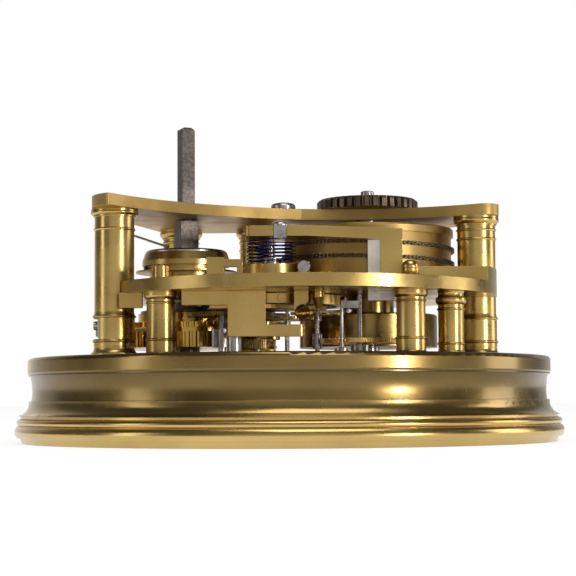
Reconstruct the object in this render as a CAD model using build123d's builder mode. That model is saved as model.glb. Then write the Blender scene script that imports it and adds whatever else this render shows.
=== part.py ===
from build123d import *
import os
from math import acos, atan2, cos, degrees, hypot, pi, radians, sin, sqrt

# Table chronometer movement standing dial down on its moulded bezel ring.
# Millimetres. The origin is the ring's axis on the plane that the ring rests on, and +Z is up.
# The photographed side faces -Y. The movement has a lower storey between the pillar plate and the
# middle plate, and an upper storey between the middle plate and the upper plate.

# Bezel ring: a moulded brass ring, with the glass and the dial inside it.
ring_height = 19.0
ring_foot_radius = 60.8
ring_torus_radius = 62.5
ring_flare_radius = 61.7
ring_waist_radius = 58.7
ring_band_radius = 59.6
ring_torus_top = 5.4
ring_flare_top = 9.4
ring_waist_top = 15.3
sight_radius = 49.5
glass_lip = 4.4
glass_thickness = 1.6
glass_clearance = 0.1
glass_seat = 3.0
dial_seat = 1.9
dial_thickness = 1.0
motion_room = 4.9
plate_clearance = 0.15

# Plates
pillar_plate_radius = 56.6
pillar_plate_thickness = 3.5
middle_thickness = 2.7
middle_radius = 44.7
middle_centre = (2.5, -5.0)
middle_left_end = -36.8
upper_gap = 15.8
upper_thickness = 2.5
pivot_depth = 1.6
running_clearance = 0.05
body_clearance = 0.3

# Pillars
tall_pillar_radius = 4.3
tall_capital_radius = 5.1
tall_foot_radius = 5.0
tall_left_place = (-37.9, -23.5)
tall_right_place = (42.8, -6.5)
rear_pillar_places = ((-26.3, 21.6), (-7.6, 21.6))
front_pillar_radius = 3.15
front_capital_radius = 3.6
front_pillar_places = ((-27.2, -31.0), (25.6, -35.0))
capital_pillar_radius = 2.75
capital_pillar_cap = 3.25
capital_pillar_place = (34.5, -30.0)
pillar_screw_radius = 1.3
pillar_screw_head = 2.6

# Fusee and great wheel
fusee_place = (-23.6, -2.0)
fusee_radius = 10.1
fusee_top_radius = 9.5
fusee_neck_radius = 9.0
fusee_disc_radius = 11.6
fusee_base_radius = 8.8
fusee_arbor_radius = 2.0
fusee_square = 4.3
key_square = 3.1
key_length = 19.1
square_turn = 26
great_teeth = 68
great_module = 0.5
great_thickness = 3.5
great_lift = 2.2
ratchet_teeth = 78
ratchet_radius = 15.4
ratchet_thickness = 1.2
ratchet_gap = 1.0
great_drum_radius = 11.0
great_drum_height = 2.3

# Going train: each wheel drives the pinion of the next arbor.
first_leaves = 8
first_teeth = 80
third_leaves = 8
third_teeth = 72
fourth_leaves = 9
fourth_teeth = 60
escape_leaves = 10
escape_teeth = 15
escape_radius = 6.0
seconds_leaves = 12
seconds_teeth = 96
first_module = 0.18
third_module = 0.16
fourth_module = 0.19
seconds_module = 0.175
first_bearing = -62
third_bearing = -8
fourth_bearing = -8
escape_bearing = 6
seconds_bearing = -14
third_wheel_thickness = 0.8
fourth_wheel_thickness = 0.7
first_wheel_thickness = 0.8
escape_thickness = 0.6
seconds_thickness = 1.0
seconds_lift = 2.6
arbor_radius = 0.5
pivot_radius = 0.35
level_gap = 0.4
friction_drum_radius = 3.9
friction_drum_teeth = 60
friction_drum_height = 2.0
friction_drum_lift = 1.6

# Balance, its spring and its supports
balance_place = (-3.9, -13.7)
balance_radius = 16.6
balance_rim_width = 1.9
balance_rim_height = 2.1
balance_gap = 0.2
balance_arm_width = 3.0
balance_hub_radius = 3.2
staff_radius = 0.6
staff_pivot = 0.3
roller_radius = 4.1
spring_radius = 5.4
spring_wire = 0.34
spring_pitch = 0.78
spring_turns = 6.5
boss_radius = 6.6
boss_height = 4.3
cock_thickness = 2.3
cock_front = -22.0
cock_left = -9.6
cock_right = 24.9
cock_leg_width = 4.8
cock_depth = 3.8
cock_drop = 0.8
cock_slope_start = 4.0
arm_lift = 3.8
arm_thickness = 2.5
bridge_thickness = 0.9
potence_front = -34.5
potence_left = -22.6
potence_web_left = -12.9
potence_web_right = -4.9
potence_arm_right = 3.4
potence_flange = 2.9
potence_depth = 3.0

# Barrel
barrel_place = (18.5, 3.0)
barrel_radius = 19.4
barrel_wall = 1.3
barrel_lift = 1.5
barrel_height = 12.2
barrel_cover_height = 1.9
barrel_cover_radius = 19.9
barrel_arbor_radius = 2.6
lower_drum_radius = 16.0
lower_drum_lift = 2.4
lower_drum_height = 7.5
drum_neck_radius = 6.0
spring_strip = 0.7
spring_strip_pitch = 1.5
set_up_teeth = 37
set_up_radius = 11.8
set_up_thickness = 2.5
set_up_bevel = 0.7
hub_radius = 1.55
hub_height = 2.0
chain_thickness = 0.7
chain_gap = 0.12

# Motion work and hands under the dial
cross_teeth = 34
idler_teeth = 24
cannon_leaves = 14
minute_wheel_teeth = 42
minute_wheel_leaves = 12
hour_wheel_teeth = 48
cannon_module = 0.3
minute_wheel_bearing = 60
cannon_radius = 0.95
hour_pipe_wall = 0.7
hand_thickness = 0.4
minute_hand_length = 43.0
hour_hand_length = 29.0
seconds_hand_length = 12.0

# Heights of the plates, and of the levels between them
glass_base = glass_lip
pillar_plate_base = ring_height - pillar_plate_thickness
dial_top = pillar_plate_base - motion_room
dial_base = dial_top - dial_thickness
deck = ring_height
great_base = deck + great_lift
great_top = great_base + great_thickness
ratchet_base = great_top + ratchet_gap
ratchet_top = ratchet_base + ratchet_thickness
great_drum_top = ratchet_top + great_drum_height
arm_base = deck + arm_lift
arm_top = arm_base + arm_thickness
third_wheel_base = arm_top + level_gap - 0.1
third_wheel_top = third_wheel_base + third_wheel_thickness
fourth_wheel_base = third_wheel_top + level_gap
fourth_wheel_top = fourth_wheel_base + fourth_wheel_thickness
first_wheel_base = fourth_wheel_top + level_gap
first_wheel_top = first_wheel_base + first_wheel_thickness
escape_base = first_wheel_base + 0.1
bridge_base = first_wheel_top + level_gap / 2
bridge_top = bridge_base + bridge_thickness
rim_base = bridge_top + body_clearance
rim_top = rim_base + balance_rim_height
middle_base = rim_top + balance_gap
middle_top = middle_base + middle_thickness
upper_base = middle_top + upper_gap
upper_top = upper_base + upper_thickness
boss_top = middle_top + boss_height
spring_base = boss_top + body_clearance + spring_wire / 2
spring_height = spring_pitch * spring_turns
cock_base = spring_base + spring_height + spring_wire / 2 + 0.15
cock_top = cock_base + cock_thickness
barrel_base = middle_top + barrel_lift
barrel_top = barrel_base + barrel_height
lower_drum_base = deck + lower_drum_lift
lower_drum_top = lower_drum_base + lower_drum_height


def step(place, distance, bearing):
    """The point at a distance and bearing (degrees from +X) from a place."""
    angle = radians(bearing)
    return (place[0] + distance * cos(angle), place[1] + distance * sin(angle))


def bearing_to(start, end):
    return degrees(atan2(end[1] - start[1], end[0] - start[0]))


def apart(start, end):
    return hypot(end[0] - start[0], end[1] - start[1])


def mesh_distance(teeth, leaves, module):
    return (teeth + leaves) * module / 2


# Places of the arbors: each lies at meshing distance from the one that drives it.
first_place = step(fusee_place, mesh_distance(great_teeth, first_leaves, great_module), first_bearing)
third_place = step(first_place, mesh_distance(first_teeth, third_leaves, first_module), third_bearing)
fourth_place = step(third_place, mesh_distance(third_teeth, fourth_leaves, third_module), fourth_bearing)
escape_place = step(fourth_place, mesh_distance(fourth_teeth, escape_leaves, fourth_module), escape_bearing)
seconds_distance = mesh_distance(seconds_teeth, seconds_leaves, seconds_module)
seconds_place = step(escape_place, seconds_distance, seconds_bearing)
centre_place = (0.0, 0.0)
cross_module = apart(first_place, centre_place) / (cross_teeth + idler_teeth)
idler_place = (first_place[0] / 2, first_place[1] / 2)
minute_wheel_distance = mesh_distance(minute_wheel_teeth, cannon_leaves, cannon_module)
minute_wheel_place = step(centre_place, minute_wheel_distance, minute_wheel_bearing)
hour_module = 2 * minute_wheel_distance / (hour_wheel_teeth + minute_wheel_leaves)


def upright(place):
    """The upright plane through a place, with local x along +X and local y along +Z."""
    return Plane(origin=(place[0], place[1], 0), x_dir=(1, 0, 0), z_dir=(0, -1, 0))


def level(place, height):
    """The level plane at a height, with its origin at a place."""
    return Plane(origin=(place[0], place[1], height))


def turned(place, start, *moves):
    """A turned piece on the upright axis at a place, from its half section.

    The start and each move are (radius, height). A third number bulges that stretch into an arc.
    """
    with BuildPart() as piece:
        with BuildSketch(upright(place)):
            with BuildLine():
                Line((0, start[1]), start)
                last = start
                for move in moves:
                    if len(move) == 3:
                        SagittaArc(last, move[:2], -move[2])
                    else:
                        Line(last, move)
                    last = move[:2]
                Line(last, (0, last[1]))
                Line((0, last[1]), (0, start[1]))
            make_face()
        revolve(axis=Axis((place[0], place[1], 0), (0, 0, 1)))
    return piece.part


def disc(place, base, top, radius, bore=0.0):
    """A plain turned disc or rod, with an optional bore through it."""
    with BuildPart() as piece:
        with BuildSketch(level(place, base)):
            Circle(radius)
            if bore > 0:
                Circle(bore, mode=Mode.SUBTRACT)
        extrude(amount=top - base)
    return piece.part


def block(low, high, corner=0.0):
    """A square-cut block between two opposite corners, with optional rounded upright edges."""
    size = [high[axis] - low[axis] for axis in range(3)]
    middle = ((low[0] + high[0]) / 2, (low[1] + high[1]) / 2)
    with BuildPart() as piece:
        with BuildSketch(level(middle, low[2])) as outline:
            Rectangle(size[0], size[1])
            if corner > 0:
                fillet(outline.vertices(), corner)
        extrude(amount=size[2])
    return piece.part


def bead_moves(radius, heights, width, proud):
    """Moves that turn a round bead at each height on a rod of the given radius."""
    moves = []
    for height in sorted(heights):
        moves += [(radius, height - width / 2), (radius, height + width / 2, proud)]
    return moves


def tooth_points(teeth, root, tip, phase, root_share=0.52, tip_share=0.24):
    """The outline of a toothed wheel: four points for each tooth."""
    pitch = 360 / teeth
    corners = ((root, -root_share), (tip, -tip_share), (tip, tip_share), (root, root_share))
    points = []
    for tooth in range(teeth):
        for radius, share in corners:
            angle = radians(phase + (tooth + share / 2) * pitch)
            points.append((radius * cos(angle), radius * sin(angle)))
    return points


def wheel(place, base, thickness, teeth, module, phase, bore, arms=4, arm_width=1.1):
    """A train wheel: teeth round a rim, with crossings between its arms."""
    pitch_radius = teeth * module / 2
    root = pitch_radius - 1.1 * module
    rim_inner = root - max(0.7, pitch_radius * 0.12)
    hub_radius = bore + 0.9
    points = tooth_points(teeth, root, pitch_radius + 0.8 * module, phase)
    with BuildPart() as piece:
        with BuildSketch(level(place, base)):
            with BuildLine():
                Polyline(*points, close=True)
            make_face()
            if arms > 0 and rim_inner > hub_radius + 1.2:
                Circle(rim_inner, mode=Mode.SUBTRACT)
                with PolarLocations(0, arms // 2, 0, 180):
                    Rectangle(2 * rim_inner + 0.2, arm_width)
                Circle(hub_radius)
            Circle(bore, mode=Mode.SUBTRACT)
        extrude(amount=thickness)
    return piece.part


def pinion(place, base, top, leaves, module, phase):
    """Pinion leaves cut in the solid of an arbor."""
    pitch_radius = leaves * module / 2
    points = tooth_points(leaves, pitch_radius - 1.15 * module, pitch_radius + 0.5 * module, phase, 0.42, 0.26)
    with BuildPart() as piece:
        with BuildSketch(level(place, base)):
            with BuildLine():
                Polyline(*points, close=True)
            make_face()
        extrude(amount=top - base)
    return piece.part


def driving_phase(place, driven_place):
    """A tooth of the driving wheel points at the driven arbor."""
    return bearing_to(place, driven_place)


def driven_phase(place, driver_place, teeth):
    """A gap of the driven wheel points back at the driving arbor."""
    return bearing_to(place, driver_place) + 180 / teeth


def arbor_moves(base, top, shoulder_base, shoulder_top, radius):
    """Moves of an arbor with a thin pivot at each end."""
    return [
        (pivot_radius, base),
        (pivot_radius, shoulder_base),
        (radius, shoulder_base),
        (radius, shoulder_top),
        (pivot_radius, shoulder_top),
        (pivot_radius, top),
    ]


finished = {}


def keep(name, piece):
    """Label a finished piece and remember it for export."""
    piece.label = name
    finished[name] = piece


# Bezel ring and glass
screw_ring_radius = pillar_plate_radius - 2.0
ring_screw_radius = 0.8
ring_screw_head = 1.6
ring_screw_depth = 1.0
ring_screw_grip = 3.0
ring_screw_turn = 12
ring_profile = [
    (ring_foot_radius, 0),
    (ring_foot_radius + 0.5, 1.3),
    (ring_torus_radius - 0.5, 1.3),
    (ring_torus_radius - 0.5, 3.75, 0.5),
    (ring_torus_radius - 0.9, 3.95),
    (ring_torus_radius - 1.0, ring_torus_top, 0.45),
    (ring_flare_radius - 0.6, ring_torus_top + 0.15),
    (ring_flare_radius - 0.6, ring_torus_top + 0.7),
    (ring_flare_radius, ring_torus_top + 0.7),
    (ring_waist_radius + 0.6, ring_flare_top - 0.15, -0.75),
    (ring_waist_radius + 0.6, ring_flare_top),
    (ring_waist_radius + 0.05, ring_flare_top),
    (ring_waist_radius + 0.3, ring_waist_top - 0.3, -0.3),
    (ring_waist_radius + 0.75, ring_waist_top - 0.3),
    (ring_waist_radius + 0.75, ring_waist_top),
    (ring_band_radius, ring_waist_top + 0.35),
    (ring_band_radius, ring_height - 0.9),
    (ring_band_radius - 0.9, ring_height, 0.26),
]
plate_seat_radius = pillar_plate_radius + plate_clearance
glass_radius = sight_radius + glass_seat
dial_radius = sight_radius + dial_seat
with BuildPart() as bezel_ring:
    add(turned(centre_place, *ring_profile))
    with BuildSketch(level(centre_place, 0)):
        Circle(sight_radius)
    extrude(amount=glass_base, mode=Mode.SUBTRACT)
    with BuildSketch(level(centre_place, glass_base)):
        Circle(glass_radius + glass_clearance)
    extrude(amount=pillar_plate_base - glass_base, mode=Mode.SUBTRACT)
    with BuildSketch(level(centre_place, pillar_plate_base)):
        Circle(plate_seat_radius)
    extrude(amount=ring_height - pillar_plate_base, mode=Mode.SUBTRACT)
    with BuildSketch(level(centre_place, pillar_plate_base - ring_screw_grip)):
        with PolarLocations(screw_ring_radius, 4, ring_screw_turn):
            Circle(ring_screw_radius)
    extrude(amount=ring_screw_grip, mode=Mode.SUBTRACT)
    inner_lip = bezel_ring.edges().filter_by(GeomType.CIRCLE).group_by(Axis.Z)[0].sort_by(SortBy.RADIUS)[0]
    chamfer(inner_lip, 2.2, 1.6)
keep("bezel_ring", bezel_ring.part)

with BuildPart() as dial_glass:
    with BuildSketch(level(centre_place, glass_base)):
        Circle(glass_radius)
    extrude(amount=glass_thickness)
    chamfer(dial_glass.edges().group_by(Axis.Z)[0], 0.4)
keep("dial_glass", dial_glass.part)

# Pillar plate: it sits in the ring's seat, level with the ring's top edge.
lower_holes = (first_place, seconds_place)
lower_pivots = (third_place, fourth_place, escape_place)
with BuildPart() as pillar_plate:
    with BuildSketch(level(centre_place, pillar_plate_base)):
        Circle(pillar_plate_radius)
        with Locations(*lower_holes):
            Circle(arbor_radius + running_clearance, mode=Mode.SUBTRACT)
    extrude(amount=pillar_plate_thickness)
    with BuildSketch(level(centre_place, deck - pivot_depth - 0.2)):
        with Locations(*lower_pivots):
            Circle(pivot_radius + running_clearance)
        with Locations(fusee_place, barrel_place):
            Circle(fusee_arbor_radius + running_clearance)
    extrude(amount=pivot_depth + 0.2, mode=Mode.SUBTRACT)
    with BuildSketch(level(centre_place, pillar_plate_base)):
        Circle(cannon_radius + running_clearance)
        with Locations(minute_wheel_place, idler_place):
            Circle(pivot_radius + running_clearance)
    extrude(amount=pivot_depth, mode=Mode.SUBTRACT)
    with Locations(Plane.XY.offset(deck)):
        with PolarLocations(screw_ring_radius, 4, ring_screw_turn):
            CounterBoreHole(ring_screw_radius, ring_screw_head + 0.1, ring_screw_depth)
keep("pillar_plate", pillar_plate.part)

# The dial has three feet that enter the pillar plate.
dial_foot_radius = 1.2
dial_foot_places = [step(centre_place, 42.0, bearing) for bearing in (30, 150, 265)]
hour_pipe_radius = cannon_radius + running_clearance + hour_pipe_wall
with BuildPart() as dial:
    with BuildSketch(level(centre_place, dial_base)):
        Circle(dial_radius)
        Circle(hour_pipe_radius + 0.4, mode=Mode.SUBTRACT)
        with Locations(seconds_place):
            Circle(arbor_radius + 0.3, mode=Mode.SUBTRACT)
    extrude(amount=dial_thickness)
    with BuildSketch(level(centre_place, dial_top)):
        with Locations(*dial_foot_places):
            Circle(dial_foot_radius)
    extrude(amount=motion_room)
keep("dial", dial.part)


def hand(place, top, length, tail, width, bore):
    """A hand: a boss with a tapering pointer towards twelve o'clock and a short tail."""
    with BuildPart() as piece:
        with BuildSketch(level(place, top - hand_thickness)):
            with BuildLine():
                Polyline(
                    (-width / 2, 0),
                    (-width * 0.2, length * 0.8),
                    (0, length),
                    (width * 0.2, length * 0.8),
                    (width / 2, 0),
                    (width * 0.35, -tail),
                    (-width * 0.35, -tail),
                    close=True,
                )
            make_face()
            with Locations((0, length * 0.62)):
                Circle(width * 0.62)
            Circle(bore + 1.0)
            Circle(bore, mode=Mode.SUBTRACT)
        extrude(amount=hand_thickness)
    return piece.part


# Hands: each is pressed on its pipe or arbor, below the dial.
hour_hand_top = dial_base - 0.95
minute_hand_top = hour_hand_top - hand_thickness - 0.5
seconds_hand_top = dial_base - 0.25
with BuildPart() as hour_hand:
    add(hand(centre_place, hour_hand_top, hour_hand_length, 5.0, 2.4, hour_pipe_radius))
keep("hour_hand", hour_hand.part)
with BuildPart() as minute_hand:
    add(hand(centre_place, minute_hand_top, minute_hand_length, 7.0, 1.9, cannon_radius))
keep("minute_hand", minute_hand.part)
with BuildPart() as seconds_hand:
    add(hand(seconds_place, seconds_hand_top, seconds_hand_length, 4.0, 1.0, arbor_radius - 0.1))
keep("seconds_hand", seconds_hand.part)

# Motion work: the first arbor's cross wheel turns the centre wheel through an idler, so that every hand
# moves round the same way. The centre wheel's pipe carries the minute hand.
cross_thickness = 0.9
cross_top = pillar_plate_base - 0.4
cross_base = cross_top - cross_thickness
minute_wheel_base = cross_base - 0.4 - cross_thickness
hour_wheel_base = minute_wheel_base - 0.4 - cross_thickness
with BuildPart() as centre_wheel:
    add(wheel(centre_place, cross_base, cross_thickness, cross_teeth, cross_module,
              driving_phase(centre_place, idler_place), cannon_radius))
    add(pinion(centre_place, minute_wheel_base, cross_base, cannon_leaves, cannon_module,
               driving_phase(centre_place, minute_wheel_place)))
    add(disc(centre_place, minute_hand_top - hand_thickness - 0.3, pillar_plate_base + pivot_depth - 0.2,
             cannon_radius))
keep("centre_wheel", centre_wheel.part)
with BuildPart() as idler_wheel:
    add(wheel(idler_place, cross_base, cross_thickness, idler_teeth, cross_module,
              driven_phase(idler_place, first_place, idler_teeth), pivot_radius))
    add(disc(idler_place, cross_base, pillar_plate_base + pivot_depth - 0.2, pivot_radius))
keep("idler_wheel", idler_wheel.part)
with BuildPart() as minute_wheel:
    add(wheel(minute_wheel_place, minute_wheel_base, cross_thickness, minute_wheel_teeth, cannon_module,
              driven_phase(minute_wheel_place, centre_place, minute_wheel_teeth), pivot_radius))
    add(pinion(minute_wheel_place, hour_wheel_base, minute_wheel_base, minute_wheel_leaves, hour_module,
               driving_phase(minute_wheel_place, centre_place)))
    add(disc(minute_wheel_place, hour_wheel_base, pillar_plate_base + pivot_depth - 0.2, pivot_radius))
keep("minute_wheel", minute_wheel.part)
with BuildPart() as hour_wheel:
    add(wheel(centre_place, hour_wheel_base, cross_thickness, hour_wheel_teeth, hour_module,
              driven_phase(centre_place, minute_wheel_place, hour_wheel_teeth), hour_pipe_radius))
    add(disc(centre_place, hour_hand_top - hand_thickness, hour_wheel_base + cross_thickness,
             hour_pipe_radius, cannon_radius + running_clearance))
keep("hour_wheel", hour_wheel.part)


def tall_pillar(place, neck_heights, capital_depth=2.2):
    """A tall pillar: a flared foot, two rings low down, neck rings and a rounded capital."""
    low = tall_pillar_radius + 0.15
    high = tall_pillar_radius
    capital = upper_base - capital_depth
    moves = [(tall_foot_radius, deck + 0.7), (low, deck + 2.2, -0.25)]
    moves += bead_moves(low, (deck + 3.3, deck + 8.6), 0.6, 0.28)
    moves += [(high, deck + 9.6)]
    moves += bead_moves(high, neck_heights, 0.55, 0.26)
    moves += [(high, capital), (high + 0.3, capital), (high + 0.3, capital + 0.35)]
    moves += [(tall_capital_radius, upper_base - 0.5, 0.3), (tall_capital_radius, upper_base)]
    return turned(place, (tall_foot_radius, deck), *moves)


# Tall pillars: the left one has a window low on its outer side, with a steel catch in it.
window_base = deck + 3.75
window_top = deck + 8.15
window_depth = 2.4
window_face = tall_left_place[0] - tall_pillar_radius + window_depth
with BuildPart() as tall_pillar_left:
    add(tall_pillar(tall_left_place, (upper_base - 4.35,), 1.6))
    add(block((tall_left_place[0] - tall_foot_radius - 1, tall_left_place[1] - 3.4, window_base),
              (window_face, tall_left_place[1] + 3.4, window_top)), mode=Mode.SUBTRACT)
    add(disc(tall_left_place, upper_base - 6, upper_base, pillar_screw_radius), mode=Mode.SUBTRACT)
keep("tall_pillar_left", tall_pillar_left.part)
with BuildPart() as tall_pillar_right:
    add(tall_pillar(tall_right_place, (upper_base - 3.2, upper_base - 5.3)))
    add(disc(tall_right_place, upper_base - 6, upper_base, pillar_screw_radius), mode=Mode.SUBTRACT)
keep("tall_pillar_right", tall_pillar_right.part)
with BuildPart() as rear_pillars:
    for place in rear_pillar_places:
        add(tall_pillar(place, (upper_base - 3.1, upper_base - 5.1)))
        add(disc(place, upper_base - 6, upper_base, pillar_screw_radius), mode=Mode.SUBTRACT)
keep("rear_pillars", rear_pillars.part)

# The catch in the left pillar's window: a steel plate with a pin and a slotted screw.
with BuildPart() as window_catch:
    add(block((window_face - 1.4, tall_left_place[1] - 2.9, window_base + 0.2),
              (window_face, tall_left_place[1] + 2.9, window_top - 0.2)))
    with BuildSketch(Plane(origin=(window_face - 1.4, tall_left_place[1] - 1.2, window_base + 2.9),
                           x_dir=(0, 1, 0), z_dir=(-1, 0, 0))):
        Circle(0.95)
    extrude(amount=1.0)
    with BuildSketch(Plane(origin=(window_face - 1.4, tall_left_place[1] + 1.3, window_base + 1.4),
                           x_dir=(0, 1, 0), z_dir=(-1, 0, 0))):
        Rectangle(1.6, 1.5)
    extrude(amount=0.8)
keep("window_catch", window_catch.part)


def front_pillar(place):
    """A short pillar under the middle plate: a capital ring, a neck ring and two rings low down."""
    radius = front_pillar_radius
    moves = [(front_capital_radius - 0.2, deck + 0.4), (radius, deck + 0.9, -0.1)]
    moves += bead_moves(radius, (deck + 3.3,), 0.55, 0.26)
    moves += bead_moves(radius - 0.1, (middle_base - 2.3,), 0.45, 0.2)
    moves += [(radius - 0.1, middle_base - 1.5), (radius + 0.1, middle_base - 1.5)]
    moves += [(front_capital_radius, middle_base - 0.6, 0.12), (front_capital_radius, middle_base)]
    return turned(place, (front_capital_radius - 0.2, deck), *moves)



# Front pillars: two with a neck ring, and a slimmer one with a deep capital.
capital_low = middle_base - 2.9
capital_moves = [(capital_pillar_radius + 0.25, deck + 0.5), (capital_pillar_radius, deck + 0.9, -0.1)]
capital_moves += bead_moves(capital_pillar_radius, (deck + 2.2, capital_low - 1.0), 0.5, 0.24)
capital_moves += [
    (capital_pillar_radius, capital_low),
    (capital_pillar_cap, capital_low + 1.2, 0.22),
    (capital_pillar_cap - 0.4, capital_low + 1.6, 0.12),
    (capital_pillar_cap - 0.3, middle_base, -0.2),
]
with BuildPart() as front_pillars:
    for place in front_pillar_places:
        add(front_pillar(place))
    add(turned(capital_pillar_place, (capital_pillar_radius + 0.25, deck), *capital_moves))
    for place in front_pillar_places + (capital_pillar_place,):
        add(disc(place, middle_base - 4.5, middle_base, pillar_screw_radius), mode=Mode.SUBTRACT)
keep("front_pillars", front_pillars.part)

# Middle plate: a disc, cut off at its left end and notched round the tall pillars.
notch_radius = tall_pillar_radius + body_clearance
neck_hole = drum_neck_radius + body_clearance
middle_pivots = (seconds_place,)
middle_screw_places = front_pillar_places + (capital_pillar_place,)
with BuildPart() as middle_plate:
    with BuildSketch(level(centre_place, middle_base)):
        with Locations(middle_centre):
            Circle(middle_radius)
        with Locations((middle_left_end - 10, 0)):
            Rectangle(20, 120, mode=Mode.SUBTRACT)
        with Locations(tall_left_place, tall_right_place, *rear_pillar_places):
            Circle(notch_radius + 0.05, mode=Mode.SUBTRACT)
        with Locations(barrel_place):
            Circle(neck_hole, mode=Mode.SUBTRACT)
        with Locations(fusee_place):
            Circle(fusee_arbor_radius + running_clearance, mode=Mode.SUBTRACT)
        with Locations(balance_place):
            Circle(staff_radius + 1.2, mode=Mode.SUBTRACT)
        with Locations(*middle_pivots):
            Circle(pivot_radius + running_clearance, mode=Mode.SUBTRACT)
        with Locations(*middle_screw_places):
            Circle(pillar_screw_radius, mode=Mode.SUBTRACT)
    extrude(amount=middle_thickness)
    with BuildSketch(level(centre_place, middle_top - 1.1)):
        with Locations(*middle_screw_places):
            Circle(pillar_screw_head)
    extrude(amount=1.1, mode=Mode.SUBTRACT)
keep("middle_plate", middle_plate.part)

# Upper plate: a band with a concave front edge, carried on the four tall pillars.
with BuildPart() as upper_plate:
    with BuildSketch(level(centre_place, upper_base)):
        with BuildLine():
            left_end = Line((-43.4, -17.5), (-42.3, -28.0))
            left_face = ThreePointArc(left_end @ 1, (-40.9, -31.5), (-38.6, -34.3))
            left_corner = ThreePointArc(left_face @ 1, (-38.2, -34.5), (-37.8, -34.2))
            front_left = ThreePointArc(left_corner @ 1, (-20.5, -14.4), (3.0, -2.6))
            front_right = ThreePointArc(front_left @ 1, (24.0, -2.9), (43.6, -12.0))
            right_corner = ThreePointArc(front_right @ 1, (46.7, -10.8), (46.9, -5.6))
            right_side = ThreePointArc(right_corner @ 1, (41.0, 14.5), (26.0, 27.4))
            rear = Line(right_side @ 1, (-30.5, 27.4))
            Line(rear @ 1, left_end @ 0)
        make_face()
        with Locations(tall_left_place, tall_right_place, *rear_pillar_places):
            Circle(pillar_screw_radius, mode=Mode.SUBTRACT)
        with Locations(fusee_place):
            Circle(fusee_arbor_radius + running_clearance, mode=Mode.SUBTRACT)
        with Locations(barrel_place):
            Circle(barrel_arbor_radius, mode=Mode.SUBTRACT)
    extrude(amount=upper_thickness)
    with BuildSketch(level(centre_place, upper_top - 1.1)):
        with Locations(tall_left_place, tall_right_place, *rear_pillar_places):
            Circle(pillar_screw_head)
    extrude(amount=1.1, mode=Mode.SUBTRACT)
keep("upper_plate", upper_plate.part)


def screw(place, head_top, head_radius, head_height, shank_radius, length):
    """A flat-headed slotted screw, standing head up."""
    head_base = head_top - head_height
    with BuildPart() as piece:
        add(turned(place, (shank_radius, head_base - length), (shank_radius, head_base),
                   (head_radius, head_base), (head_radius, head_top)))
        add(block((place[0] - head_radius, place[1] - 0.25, head_top - 0.5),
                  (place[0] + head_radius, place[1] + 0.25, head_top + 1)), mode=Mode.SUBTRACT)
    return piece.part


# Flush screws: four hold the upper plate, three the middle plate and four the ring.
with BuildPart() as plate_screws:
    for place in (tall_left_place, tall_right_place) + rear_pillar_places:
        add(screw(place, upper_top, pillar_screw_head, 1.1, pillar_screw_radius, 5.0))
    for place in middle_screw_places:
        add(screw(place, middle_top, pillar_screw_head, 1.1, pillar_screw_radius, 4.5))
    for quarter in range(4):
        place = step(centre_place, screw_ring_radius, ring_screw_turn + 90 * quarter)
        add(screw(place, deck, ring_screw_head, ring_screw_depth, ring_screw_radius,
                  pillar_plate_thickness - ring_screw_depth + ring_screw_grip))
keep("plate_screws", plate_screws.part)

# Potence: a bracket under the middle plate that holds the balance's lower pivot.
potence_back = potence_front + potence_depth
flange_base = middle_base - potence_flange
strip_half = 1.3
strip_middle = balance_place[0] - 0.8
with BuildPart() as potence:
    add(block((potence_left, potence_front, flange_base), (potence_web_right, potence_back, middle_base)))
    add(block((potence_web_left, potence_front, arm_base), (potence_web_right, potence_back, flange_base)))
    with BuildSketch(level(centre_place, arm_base)):
        arm_length = potence_arm_right - potence_web_left
        with Locations((potence_web_left + arm_length / 2, (potence_front + potence_back) / 2)):
            Rectangle(arm_length, potence_depth)
        strip_length = balance_place[1] - potence_front
        with Locations((strip_middle, potence_front + strip_length / 2)):
            Rectangle(2 * strip_half, strip_length)
        with Locations(balance_place):
            Circle(1.9)
            Circle(staff_pivot + running_clearance, mode=Mode.SUBTRACT)
    extrude(amount=arm_thickness)
    arm_end = potence.edges().filter_by(Axis.Z).group_by(Axis.X)[-1]
    fillet(arm_end, potence_depth * 0.42)
keep("potence", potence.part)

# Train bridge: a thin plate under the balance, screwed to the back of the potence.
bridge_left = first_place[0] - 2.2
bridge_right = escape_place[0] + 2.0
bridge_rear = balance_place[1] - 2.4
bridge_holes = (first_place, third_place, fourth_place, escape_place)
with BuildPart() as train_bridge:
    with BuildSketch(level(centre_place, bridge_base)):
        with BuildLine():
            Polyline(
                (bridge_left, bridge_rear),
                (bridge_left, potence_back),
                (potence_web_right + 1, potence_back),
                (bridge_right, escape_place[1] - 2.2),
                (bridge_right, escape_place[1] + 1.6),
                (fourth_place[0], bridge_rear),
                close=True,
            )
        make_face()
        with Locations(*bridge_holes):
            Circle(pivot_radius + running_clearance, mode=Mode.SUBTRACT)
    extrude(amount=bridge_thickness)
keep("train_bridge", train_bridge.part)

# Great wheel with its maintaining ratchet: it turns on the winding arbor.
great_bore = fusee_arbor_radius + running_clearance
with BuildPart() as great_wheel:
    add(wheel(fusee_place, great_base, great_thickness, great_teeth, great_module,
              driving_phase(fusee_place, first_place), great_bore, arms=0))
    add(disc(fusee_place, great_top, ratchet_base, ratchet_radius - 1.6))
    with BuildSketch(level(fusee_place, ratchet_base)):
        with BuildLine():
            Polyline(*tooth_points(ratchet_teeth, ratchet_radius - 0.8, ratchet_radius, 0, 0.7, 0.4),
                     close=True)
        make_face()
    extrude(amount=ratchet_thickness)
    add(turned(fusee_place, (great_drum_radius - 0.8, ratchet_top),
               (great_drum_radius - 0.8, ratchet_top + 0.5),
               (great_drum_radius, ratchet_top + 0.5), (great_drum_radius, great_drum_top)))
    add(disc(fusee_place, great_base, great_drum_top, great_bore), mode=Mode.SUBTRACT)
keep("great_wheel", great_wheel.part)

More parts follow.
